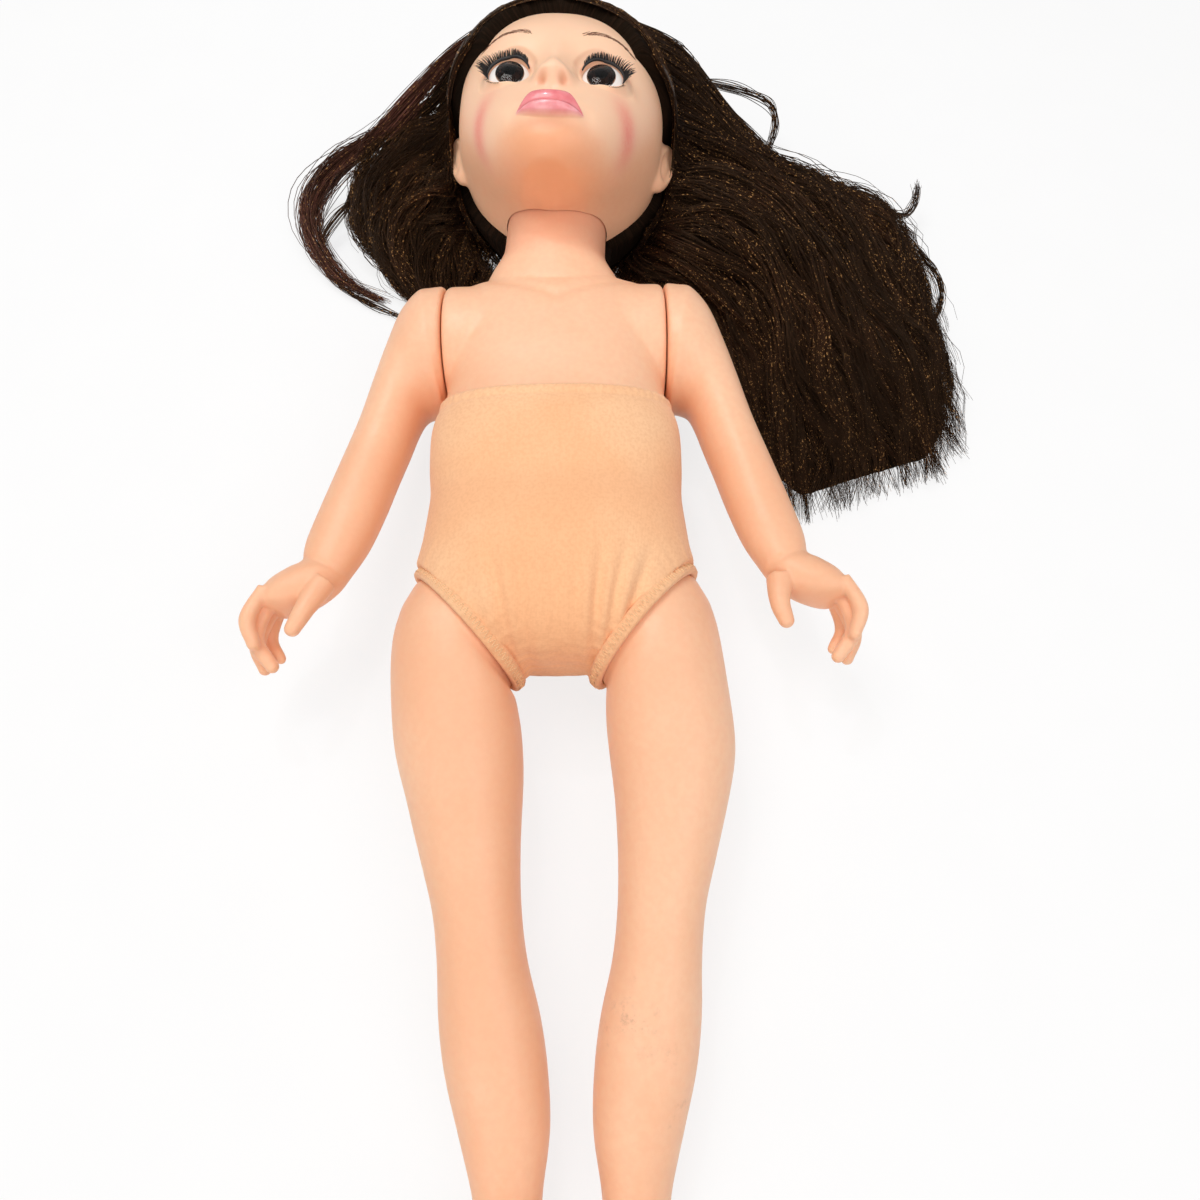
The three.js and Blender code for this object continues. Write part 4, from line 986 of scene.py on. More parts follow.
def hem(name, mirror, cloth_material, thread_material):
    """The flat sewn band round a leg opening, with its rolled edge and zigzag stitches."""
    base = hip_frame(mirror)
    _, lift, thick, wide = HEM_BAND
    count, sides = 220, 20
    c, s = squared(sides, HEM_SQUARENESS)
    points = []
    for k in range(count):
        turn = k / count * 2 * math.pi
        out = np.array((math.cos(turn), math.sin(turn), 0))
        middle = out * hem_radius(turn) + (0, 0, lift)
        bulge = thick * (1 + 0.18 * np.clip(s, 0, 1) ** 2 + 0.05 * math.sin(k * 1.9))
        points.append(middle + np.outer(c * bulge, out) + np.outer(s * wide, (0, 0, 1)))
    points = moved_by(np.concatenate(points), base)
    faces = grid_faces(count, sides)
    last = (count - 1) * sides
    faces += [(last + j, last + (j + 1) % sides, (j + 1) % sides, j) for j in range(sides)]
    made = piece(name + "_leg_hem_roll", (points, faces), cloth_material)
    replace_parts(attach(made, "torso"), name + "_leg_hem", name + "_leg_tie")
    line = []
    for k in range(STITCH_TURNS * 2 + 1):
        turn = k / (STITCH_TURNS * 2) * 2 * math.pi
        radius = hem_radius(turn) + thick + 0.02
        height = lift + (STITCH_HALF if k % 2 else -STITCH_HALF)
        line.append(np.array(base @ Vector((radius * math.cos(turn), radius * math.sin(turn), height))))
    sewn = piece(name + "_hem_stitches", tube(smooth_rows(line, 3), THREAD_RADIUS, 6), thread_material)
    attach(sewn, "torso")


# Head
def jaw_rise(up, z):
    """How far the head's base is raised at a depth, dying away with the height."""
    nape, corner, chin = JAW_DEPTHS
    behind_chin = 1 - step(z, corner, chin)
    share = JAW_NAPE_RISE + (JAW_CORNER_RISE - JAW_NAPE_RISE) * step(z, nape, corner)
    return behind_chin * share * (1 - step(up, HEAD_LEVELS[0][0], JAW_RISE_GONE))


def head_rings(offset, count, steps):
    c, s = squared(count, HEAD_SQUARENESS)
    rings = []
    levels = smooth_rows(HEAD_LEVELS, steps)
    for k, (up, half, back, front) in enumerate(levels):
        z = HEAD_MIDDLE_Z + s * (np.where(s > 0, front - HEAD_MIDDLE_Z, HEAD_MIDDLE_Z - back) + offset)
        end = -offset if k == 0 else offset * step(up, 48, HEAD_LEVELS[-1][0])
        rings.append(np.column_stack([c * (half + offset), up + end + jaw_rise(up, z), z]))
    return rings


def eye_reach(x, up):
    """1 on the edge of an eye's almond opening, less inside it, and how far over its middle each point is."""
    out = np.abs(x) - EYE_X
    tilt = up - EYE_UP + EYE_DROOP * np.abs(out)
    wide = np.where(out > 0, EYE_OPEN[0], EYE_OPEN[1])
    tall = np.where(tilt > 0, EYE_OPEN[2], EYE_OPEN[3])
    return (np.abs(out / wide) ** 2.2 + np.abs(tilt / tall) ** 2.1) ** (1 / 2.15), tilt


def lip_shape(x, up):
    """Masks of the upper lip, the lower lip and the line between them."""
    side = np.clip(np.abs(x) / LIP_HALF, 0, 1)
    parting = -2.9 - 0.8 * np.cos(x / LIP_HALF * np.pi) * (1 - side) - 1.7 * side ** 2
    bow = 4.9 - 1.7 * hill(x, 1.8) - 9.2 * side ** 1.9
    bottom = -7.6 + 3.1 * side ** 2.4
    upper = step(bow - up, -0.35, 0.45) * step(up - parting, -0.2, 0.2)
    lower = step(up - bottom, -0.35, 0.45) * step(parting - up, -0.2, 0.2)
    within = step(LIP_HALF - np.abs(x), -0.2, 0.8)
    line = hill(up - parting, 0.42) * step(LIP_HALF - 0.6 - np.abs(x), 0, 2)
    return upper * within, lower * within, line, side


def ear_local(x, up, z):
    """Points in an ear's own directions: out of its face, along it and across it."""
    b, c = up - EAR_PLACE[1], z - EAR_PLACE[2]
    a = np.abs(x) - EAR_PLACE[0] - EAR_LEAN * b
    cos, sin = math.cos(EAR_TURN), math.sin(EAR_TURN)
    return cos * a + sin * c, b, -sin * a + cos * c


def carve_face(points):
    """Moves the head's points into the face: sockets, lids, nose, lips, chin and cheeks."""
    x, up, z = points.T
    side = np.abs(x)
    front = step(z, 26, 36)
    moved = np.zeros_like(points)
    e, above = eye_reach(x, up)
    upper, lower, line, out = lip_shape(x, up)
    full = np.clip(1 - out ** 2, 0, None) ** 0.7
    forward = full * (3 * upper * hill(up - 0.8, 3) + 3.4 * lower * hill(up + 5.3, 2.3) - 1.2 * line)
    for far, across, wide, height, tall in FACE_FORMS:
        forward += far * hill(side - across, wide) * hill(up - height, tall)
    face_z = z + forward * front
    lid_radius = EYEBALL_RADIUS + 0.9
    lid_z = EYEBALL_Z + np.sqrt(np.clip(lid_radius ** 2 - (side - EYE_X) ** 2 - (up - EYE_UP) ** 2, 4, None))
    near = (1 - step(e, 1.08, 1.5)) * front
    face_z += near * np.clip(lid_z - face_z, -1.6, 2.2)
    rim = 0.3 * hill(e - 1.06, 0.07) - 0.3 * hill(e - 1.36, 0.08) * step(above, 1, 3)
    face_z += (rim - 0.15 * hill(e - 1.34, 0.1) * step(-above, 1, 3)) * front
    face_z -= 3.6 * step(1.0 - e, 0.0, 0.08) * front
    moved[:, 2] = face_z - z
    out_of, along, across = ear_local(x, up, z)
    ear_e = np.hypot(along / EAR_RADII[1], across / EAR_RADII[2])
    hollow = 2.1 * ((1 - step(ear_e, 0.4, 0.76)) * step(out_of, 0.6, 2.2) * step(side, 41, 42.5))
    moved[:, 0] -= np.sign(x) * math.cos(EAR_TURN) * hollow
    moved[:, 2] -= math.sin(EAR_TURN) * hollow
    return points + moved


def neck_bore(made):
    """Cuts the round opening for the neck into the head's base."""
    radius = NECK_RADIUS + 0.45
    cutter = piece("neck_bore", turned_profile([(radius, -60), (radius, 0.3)], 160), made.active_material)
    cutter.data.transform(Matrix.Rotation(-math.pi / 2, 4, "X"))
    cut_out = made.modifiers.new("bore", "BOOLEAN")
    cut_out.operation = "DIFFERENCE"
    cut_out.solver = "EXACT"
    cut_out.object = cutter
    bake(made)
    bpy.data.objects.remove(cutter)
    made.data.set_sharp_from_angle(angle=math.radians(48))


def refine(made, wanted):
    """Splits each edge once where both ends are wanted."""
    form = bmesh.new()
    form.from_mesh(made.data)
    form.verts.ensure_lookup_table()
    edges = [edge for edge in form.edges if wanted[edge.verts[0].index] and wanted[edge.verts[1].index]]
    bmesh.ops.subdivide_edges(form, edges=edges, cuts=1, use_grid_fill=True)
    bmesh.ops.triangulate(form, faces=[f for f in form.faces if len(f.verts) > 4])
    form.to_mesh(made.data)
    form.free()
    shade_smooth(made.data)


def to_head(made):
    turned = Matrix.Rotation(-math.radians(HEAD_LEAN), 4, "Z")
    made.matrix_world = Matrix.Translation(Vector(NECK_TOP) * MM) @ turned
    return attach(made, "head")


def head(material):
    """Makes the head, and returns its surface for the lashes and brows to lie on."""
    parts = [loft(head_rings(0, 160, 6))]
    for _, mirror in SIDES:
        ear = egg((0, 0, 0), EAR_RADII, 28)
        place = Matrix.Translation((mirror * EAR_PLACE[0], EAR_PLACE[1], EAR_PLACE[2]))
        lean = Matrix.Identity(4)
        lean[0][1] = mirror * EAR_LEAN
        parts.append(placed(ear, place @ lean @ Matrix.Rotation(-mirror * EAR_TURN, 4, "Y")))
    made = piece("head_vinyl", joined(parts), material)
    melt(made, HEAD_VOXEL, 16)
    neck_bore(made)
    points = points_of(made)
    refine(made, (points[:, 2] > 30) & (points[:, 1] > -12) & (points[:, 1] < 35))
    x, up, z = points_of(made).T
    eyes = eye_reach(x, up)[0] < 1.9
    lips = (np.abs(x) < 15) & (up > -10) & (up < 7)
    nose = (np.abs(x) < 9) & (up > 6) & (up < 20)
    refine(made, (z > 34) & (eyes | lips | nose))
    points = carve_face(points_of(made))
    set_points(made, points)
    x, up, z = points.T
    e, above = eye_reach(x, up)
    upper, lower, line, _ = lip_shape(x, up)
    front = step(z, 36, 44)
    paint(made, "lips", np.clip(upper + lower, 0, 1) * front)
    paint(made, "upper_lip", upper * front)
    paint(made, "mouth", np.clip(line, 0, 1) * front * 0.8)
    across, rise, ahead = np.abs(x) - BLUSH[0], up - BLUSH[1], z - BLUSH[2]
    away = np.sqrt((across / 4.6) ** 2 + ((rise - 1.37 * ahead) / 6) ** 2 + (rise / 7) ** 2)
    paint(made, "blush", 0.78 * hill(away, 1))
    paint(made, "pale", step(z, 26, 44) * step(up, -12, -3))
    # Painted shade under the chin and jaw.
    paint(made, "chin", step(-up, 3, 17) * hill(x, 24) * step(z, 2, 42))
    # Painted shade: the lids' edge and crease, the nostrils, and under the lower lip.
    rim = hill(e - 1.05, 0.06) * step(above, -2, 2) * 0.8 + hill(e - 1.36, 0.08) * step(above, 1, 3) * 0.15
    nostril = hill(np.abs(x) - 3.9, 1.35) * hill(up - 11.0, 1.35) * 0.75
    under = 0.4 * hill(x, 7) * hill(up + 9.4, 1.3)
    paint(made, "shade", np.clip(rim + nostril + under, 0, 1) * front)
    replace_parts(to_head(made), "head_shell")
    corners = [v.co for v in made.data.vertices]
    return BVHTree.FromPolygons(corners, [list(f.vertices) for f in made.data.polygons])


def eye(name, mirror, glaze, glass):
    centre = Vector((mirror * EYE_X, EYE_UP, EYEBALL_Z))
    profile = []
    for lift in np.linspace(-0.35, 0.995, 60) * np.pi / 2:
        profile.append((EYEBALL_RADIUS * math.cos(lift), EYEBALL_RADIUS * math.sin(lift)))
    ball = piece(name + "_eyeball", placed(turned_profile(profile, 64), Matrix.Translation(centre)), glaze)
    points = points_of(ball)
    paint(ball, "away", np.hypot(points[:, 0] - centre[0], points[:, 1] - centre[1] + IRIS_DROP))
    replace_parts(to_head(ball), name + "_eye_shell", name + "_iris")
    seat = math.sqrt(EYEBALL_RADIUS ** 2 - IRIS_RADIUS ** 2)
    profile = []
    for k in range(8):
        r = IRIS_RADIUS * (0.02 + 0.98 * k / 7)
        profile.append((r, math.sqrt(EYEBALL_RADIUS ** 2 - r * r) + 0.1))
    for k in range(13):
        t = k / 12 * math.pi / 2
        profile.append((IRIS_RADIUS * math.cos(t) if k < 12 else 0.05, seat + 0.12 + 1.9 * math.sin(t)))
    turn = Matrix.Translation(centre) @ Matrix.Rotation(math.asin(IRIS_DROP / EYEBALL_RADIUS), 4, "X")
    dome = piece(name + "_eye_dome", placed(turned_profile(profile, 64), turn), glass)
    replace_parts(to_head(dome), name + "_eye_lens")


def strands(name, lines, radii, material, sides=3, shade=None):
    """One mesh of many thin closed strands. lines is (strands, points, 3) and radii (strands, points)."""
    lines = np.asarray(lines, float)
    count, steps, _ = lines.shape
    along = np.gradient(lines, axis=1)
    along /= np.linalg.norm(along, axis=2)[..., None] + 1e-9
    side = np.cross(along, np.array((0.11, 0.07, 0.99)))
    side /= np.linalg.norm(side, axis=2)[..., None] + 1e-9
    other = np.cross(along, side)
    c, s = angles(sides)
    ring = side[:, :, None] * c[:, None] + other[:, :, None] * s[:, None]
    points = (lines[:, :, None] + ring * radii[..., None, None]).reshape(-1, 3)
    start = (np.arange(count) * steps * sides)[:, None]
    quads = (start + np.array(grid_faces(steps, sides)).reshape(1, -1)).reshape(-1, 4)
    low = (start + np.arange(sides)[::-1][None]).reshape(-1, sides)
    high = (start + (steps - 1) * sides + np.arange(sides)[None]).reshape(-1, sides)
    mesh = bpy.data.meshes.new(name)
    loops = np.concatenate([quads.ravel(), low.ravel(), high.ravel()])
    sizes = np.concatenate([np.full(len(quads), 4), np.full(len(low) + len(high), sides)])
    mesh.vertices.add(len(points))
    mesh.vertices.foreach_set("co", (points * MM).astype(np.float32).ravel())
    mesh.loops.add(len(loops))
    mesh.loops.foreach_set("vertex_index", loops.astype(np.int32))
    mesh.polygons.add(len(sizes))
    mesh.polygons.foreach_set("loop_start", np.concatenate([[0], np.cumsum(sizes)[:-1]]).astype(np.int32))
    mesh.polygons.foreach_set("loop_total", sizes.astype(np.int32))
    mesh.update(calc_edges=True)
    mesh.validate()
    shade_smooth(mesh)
    mesh.materials.append(material)
    made = added(name, mesh)
    if shade is not None:
        paint(made, "strand", np.repeat(shade, steps * sides))
    return made


def lid_point(mirror, turn):
    """A point on the edge of an eye's opening, at a turn from its outer corner over the top."""
    out, over = math.cos(turn), math.sin(turn)
    wide = EYE_OPEN[0] if out > 0 else -EYE_OPEN[1]
    tall = EYE_OPEN[2] if over > 0 else -EYE_OPEN[3]
    across = wide * abs(out) ** 0.92
    up = EYE_UP + tall * abs(over) ** 0.95 - EYE_DROOP * abs(across)
    return mirror * (EYE_X + across), up


def on_face(face_tree, x, up, lift):
    """The place on the face straight behind a point of the head's frame, lifted off it, in millimetres."""
    place, normal, _, _ = face_tree.ray_cast(Vector((x, up, 90)) * MM, Vector((0, 0, -1)))
    return np.array(place) / MM + np.array(normal) * lift


# How many lashes an eye has over and under it, and how many hairs a brow has
UPPER_LASHES = 96
LOWER_LASHES = 12
BROW_HAIRS = 90


def lashes(name, mirror, material, face_tree):
    chance = np.random.default_rng(11 if mirror > 0 else 12)
    lines, radii = [], []
    share = np.linspace(0, 1, 9)

    def add(turn, length, rise, ahead, fan, thick):
        x, up = lid_point(mirror, turn)
        root = on_face(face_tree, x, up + (0.5 if rise > 0 else -0.4), 0.05)
        line = np.stack([root[0] + mirror * fan * length * share,
                         root[1] + rise * length * share ** 1.4,
                         root[2] + ahead * length * np.sin(share * 1.7)], 1)
        lines.append(line)
        radii.append(thick * (1 - 0.85 * share ** 1.5))

    for turn in -0.25 + 2.85 * np.linspace(0, 1, UPPER_LASHES) ** 1.15:
        out = math.cos(turn)
        outer, inner = max(out, 0), max(-out, 0)
        length = chance.uniform(3.0, 4.2) * (1 + 0.25 * outer - 0.55 * inner)
        fan = 0.85 * outer ** 2 - 0.15 * inner + chance.uniform(-0.14, 0.14) * (1 - 0.7 * inner)
        rise = 0.62 * (1 - 0.7 * outer ** 2)
        add(turn + chance.uniform(-0.03, 0.03), length, rise, 0.36 + 0.2 * outer, fan, 0.22)
    for turn in np.linspace(-0.3, -1.2, LOWER_LASHES):
        root, length = turn + chance.uniform(-0.03, 0.03), chance.uniform(1.4, 2.2)
        add(root, length, -0.6, 0.2, 0.5 * math.cos(turn) + 0.15, 0.11)
    made = strands(name + "_lashes", lines, np.array(radii), material, 4)
    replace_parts(to_head(made), name + "_upper_lash")
    edge = []
    for turn in np.linspace(-0.35, 2.9, 44):
        x, up = lid_point(mirror, turn)
        edge.append(on_face(face_tree, x, up + 0.25, 0.0))
    band = tube(edge, 0.3 + 0.35 * np.sin(np.linspace(0, np.pi, 44)), 8)
    to_head(piece(name + "_lash_band", band, material))


def brows(name, mirror, material, face_tree):
    chance = np.random.default_rng(21 if mirror > 0 else 22)
    lines, radii = [], []
    share = np.linspace(0, 1, 7)
    for k in range(BROW_HAIRS):
        t = k / (BROW_HAIRS - 1)
        x0 = 9.5 + 18.5 * t + chance.uniform(-0.3, 0.3)
        up0 = 36.4 + 3.4 * math.sin(t * 2.2) - 2.4 * t * t + chance.uniform(-1.0, 1.0) * (1 - 0.7 * t)
        length = chance.uniform(2.2, 3.2)
        lean = 0.6 - 0.8 * t
        spots = [(mirror * (x0 + length * at * 0.85), up0 + length * at * lean) for at in share]
        lines.append([on_face(face_tree, x, up, 0.02) for x, up in spots])
        radii.append(0.1 * (1 - 0.7 * share))
    made = strands(name + "_brow", lines, np.array(radii), material, 4)
    to_head(made)


# Hair
SCALP_MIDDLE = (0, 30, 12)
BARE_DEPTH = 9
# Paths over the scalp in the head's frame, from the parting, then over the floor in the doll's frame
LEFT_LOCKS = [
    (((2, 76, 26), (16, 78, 34)),
     ((30, 240, 75), (52, 238, 66), (70, 230, 50), (86, 219, 34), (108, 213, 27), (138, 207, 20),
      (158, 192, 15), (166, 165, 8))),
    (((2, 79, 18), (22, 72, 36)),
     ((40, 227, 70), (58, 227, 58), (76, 217, 44), (98, 206, 34), (130, 196, 25), (152, 176, 18),
      (163, 146, 11), (168, 112, 5))),
    (((2, 74, 34), (24, 66, 40)),
     ((44, 208, 55), (64, 210, 46), (90, 200, 38), (122, 174, 29), (148, 138, 20), (163, 104, 13),
      (170, 80, 5))),
    (((2, 70, 42), (27, 60, 44), (41, 47, 24)),
     ((47, 190, 38), (66, 190, 40), (92, 178, 36), (116, 150, 28), (138, 114, 20), (152, 82, 12),
      (158, 63, 4))),
    (((2, 66, 46), (26, 56, 47), (41, 46, 25), (45, 41, 0)),
     ((43, 176, 28), (60, 174, 36), (84, 160, 33), (104, 130, 25), (118, 96, 17), (126, 70, 10),
      (128, 54, 4))),
    (((2, 61, 49), (25, 53, 49), (40, 46, 26), (45, 41, 0), (42, 18, -17)),
     ((35, 166, 22), (50, 160, 27), (70, 148, 26), (86, 120, 19), (96, 90, 12), (101, 64, 8), (98, 45, 3))),
    (((2, 58, 50), (25, 51, 49), (39, 45, 27), (44, 40, -1), (39, 14, -20)),
     ((26, 160, 15), (40, 152, 17), (58, 142, 15), (72, 122, 9), (80, 100, 6), (84, 80, 4), (84, 62, 3))),
    (((2, 57, 50), (25, 50, 49), (38, 44, 27), (43, 38, -4), (36, 10, -20)),
     ((16, 166, 14), (20, 158, 13), (27, 150, 11), (35, 143, 8), (43, 138, 5)))]
RIGHT_LOCKS = [
    (((-2, 78, 20), (-18, 75, 34)),
     ((-34, 232, 70), (-56, 233, 50), (-80, 226, 34), (-96, 214, 20), (-94, 200, 11), (-82, 186, 7),
      (-70, 168, 4))),
    (((-2, 74, 34), (-24, 66, 40)),
     ((-42, 212, 55), (-60, 214, 46), (-78, 206, 34), (-86, 192, 22), (-80, 178, 13), (-71, 166, 8),
      (-62, 156, 4))),
    (((-2, 68, 44), (-27, 59, 44), (-41, 48, 24)),
     ((-45, 194, 42), (-58, 194, 42), (-70, 186, 33), (-75, 174, 22), (-69, 164, 14), (-60, 155, 8),
      (-50, 147, 4))),
    (((-2, 60, 49), (-25, 53, 49), (-40, 46, 26), (-45, 41, 0)),
     ((-41, 180, 28), (-50, 177, 30), (-58, 170, 24), (-60, 161, 15), (-55, 153, 10), (-48, 146, 6),
      (-41, 140, 4))),
    (((-2, 57, 50), (-25, 51, 49), (-38, 44, 27), (-43, 38, -5), (-38, 12, -19)),
     ((-24, 168, 18), (-26, 160, 16), (-29, 151, 13), (-32, 143, 9), (-33, 138, 5)))]
LOOSE_LOOP = [
    (((-2, 76, 26), (-16, 78, 34)),
     ((-30, 236, 74), (-54, 233, 58), (-82, 227, 40), (-106, 226, 27), (-121, 214, 15), (-122, 194, 8),
      (-106, 172, 5), (-82, 159, 3))),
    (((-2, 77, 24), (-18, 76, 34)),
     ((-33, 234, 70), (-56, 231, 54), (-82, 225, 36), (-102, 219, 22), (-112, 206, 13), (-109, 188, 7),
      (-96, 172, 4), (-80, 161, 3)))]
# Thin stray locks, in the doll's frame
STRAY_LEFT = [
    ((58, 236, 52), (76, 256, 34), (93, 262, 25), (104, 261, 20), (106, 252, 16), (102, 240, 14),
     (94, 226, 13), (86, 214, 12)),
    ((118, 205, 27), (140, 196, 22), (156, 192, 17), (163, 196, 15), (167, 203, 15), (169, 210, 15),
     (170, 214, 15)),
    ((140, 190, 20), (158, 184, 13), (169, 176, 8), (175, 167, 6), (176, 157, 5), (172, 146, 4),
     (166, 136, 3)),
    ((130, 180, 22), (150, 168, 14), (163, 152, 9), (168, 136, 6), (170, 122, 5), (171, 110, 4),
     (170, 96, 3))]
STRAY_RIGHT = [
    ((-90, 214, 16), (-104, 204, 11), (-112, 190, 7), (-108, 176, 4), (-96, 164, 3), (-82, 156, 2.5),
     (-70, 150, 2))]
STRAY_STRANDS = 26
FRIZZY_SHARE = 0.22
# The body under the strands: how finely its guides are divided, where along them it starts and ends, how many
# places it takes across them, and its least thickness
BODY_STEPS = 30
BODY_START = 7
BODY_END = 29
BODY_ACROSS = 15
BODY_LEAST = 3.2
STRAND_STEPS = 34
# Lowest that hair lies over the floor
HAIR_FLOOR = 0.3
# The bare face's arch: half width on the doll's right and left, foot, height and squareness
FACE_HALF = (35.5, 39)
FACE_FOOT = 6
FACE_HEIGHT = 48
FACE_ARCH = 2.4
# How far over the head the scalp's hair lies, and the least for loose strands
HAIR_LIFT = 4.5
HAIR_CLEAR = 5.4
CLEAR_SQUARENESS = 2.3
CROWN_RADII = (45, 50, 45)
CROWN_STRANDS = 1500
HAIRLINE_STRANDS = 900
HAIRLINE_TAIL = [(42.5, 42, 20), (45, 40.5, 3), (43.5, 31, -12)]


def hairless(x, up, z):
    """1 over the face, the ears and the neck, in the head's frame, and 0 where hair grows."""
    half = np.where(x < 0, FACE_HALF[0], FACE_HALF[1])
    over = np.clip(up - FACE_FOOT, 0, None) / FACE_HEIGHT
    arch = (np.abs(x) / half) ** FACE_ARCH + over ** FACE_ARCH
    face = step(1.1 - arch, 0, 0.16) * step(z, 4, 12)
    low = step(z, -5, 0) * step(38 - up, -2, 3)
    nape = step(-up, 7, 11)
    return np.maximum(np.maximum(face, low), nape)


def on_head(points):
    """Points of the head's frame placed in the doll's frame, in millimetres."""
    return moved_by(np.asarray(points, float), NECK_FRAME)


def off_head(points):
    """Points of the doll's frame in the head's frame."""
    return (points - np.array(NECK_FRAME.translation)) @ np.array(NECK_FRAME.to_3x3())


def evenly(line, count):
    """A line of points taken again at even distances."""
    run = np.concatenate([[0], np.cumsum(np.linalg.norm(np.diff(line, axis=0), axis=1))])
    even = np.linspace(0, run[-1], count)
    return np.column_stack([np.interp(even, run, line[:, k]) for k in range(3)])


def scalp(material):
    rings = []
    for ring in head_rings(HAIR_LIFT, 220, 10):
        bare = hairless(*ring.T)
        pull = (ring - SCALP_MIDDLE) / np.linalg.norm(ring - SCALP_MIDDLE, axis=1)[:, None]
        rings.append(ring - pull * ((HAIR_LIFT + BARE_DEPTH) * bare)[:, None])
    made = piece("hair_scalp", loft(rings), material)
    x, up, z = points_of(made).T
    turn = np.arctan2(up - 30, np.abs(x) + 6)
    paint(made, "flow", np.column_stack([turn * 40, z * 0.05, x * 0.02]))
    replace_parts(to_head(made), "hair_cap")


def guide_lines(locks, count):
    """Each lock's middle line, evenly spaced: where it leaves the parting to its tip."""
    lines = [smooth_rows(np.vstack([on_head(over), across]), 8) for over, across in locks]
    return np.array([evenly(line, count) for line in lines])


def between(guides, u):
    """The line at a share u across the guides."""
    at = np.clip(u, 0, 1) * (len(guides) - 1)
    low = np.minimum(at.astype(int), len(guides) - 2)
    part = (at - low)[:, None, None]
    return guides[low] * (1 - part) + guides[low + 1] * part


def hair_body(name, locks, start, end, material, nodes):
    """The dark solid body under a side's loose strands."""
    guides = guide_lines(locks, BODY_STEPS)
    share = np.linspace(0, 1, BODY_ACROSS)
    field = between(guides, share)
    rings = []
    edge = np.sin(share * np.pi) ** 0.35
    for k in range(BODY_START, BODY_END):
        top = field[:, k].copy()
        sunk = np.where(np.abs(top[:, 0]) > 60, 0.72, 0.86)
        taper = 1 - 0.7 * step(k, 19, 28)
        top[:, 2] = np.maximum(top[:, 2] * sunk * (0.5 + 0.5 * edge) * taper - 2.2, BODY_LEAST)
        low = top.copy()
        low[:, 2] = np.minimum(0.4 + 0.25 * (top[:, 2] - BODY_LEAST) * (k < 10), top[:, 2] - 0.8)
        hang = (1 - step(share, 0.05, 0.5)) * (1 - step(k, 14, 24))
        low[:, 2] += (np.maximum(top[:, 2] - 8, low[:, 2]) - low[:, 2]) * hang
        rings.append(np.vstack([top, low[::-1]]))
    made = piece(name, loft(rings), material)
    melt(made, HAIR_VOXEL, 10)
    points = points_of(made)
    points[:, 2] = np.maximum(points[:, 2], HAIR_FLOOR)
    set_points(made, points)
    flat = field[:, BODY_START:BODY_END].reshape(-1, 3)
    keys = np.array([(i * 6.0, k * 0.35, 0) for i in range(BODY_ACROSS) for k in range(BODY_START, BODY_END)])
    flow = []
    for point in points:
        weight = np.exp(-((point - flat) ** 2).sum(1) / 60) + 1e-12
        flow.append((weight[:, None] * keys).sum(0) / weight.sum())
    paint(made, "flow", flow)
    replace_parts(made, *nodes)
    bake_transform(made)


def drift(chance, count, steps, waves, size):
    """Smooth random wander of many lines, zero at their start."""
    keys = chance.normal(size=(count, waves, 3))
    at = np.linspace(0, waves - 1, steps)
    low = np.minimum(at.astype(int), waves - 2)
    part = at - low
    part = (part * part * (3 - 2 * part))[None, :, None]
    wander = keys[:, low] * (1 - part) + keys[:, low + 1] * part
    return size * (wander - wander[:, :1] * (1 - np.linspace(0, 1, steps))[None, :, None])


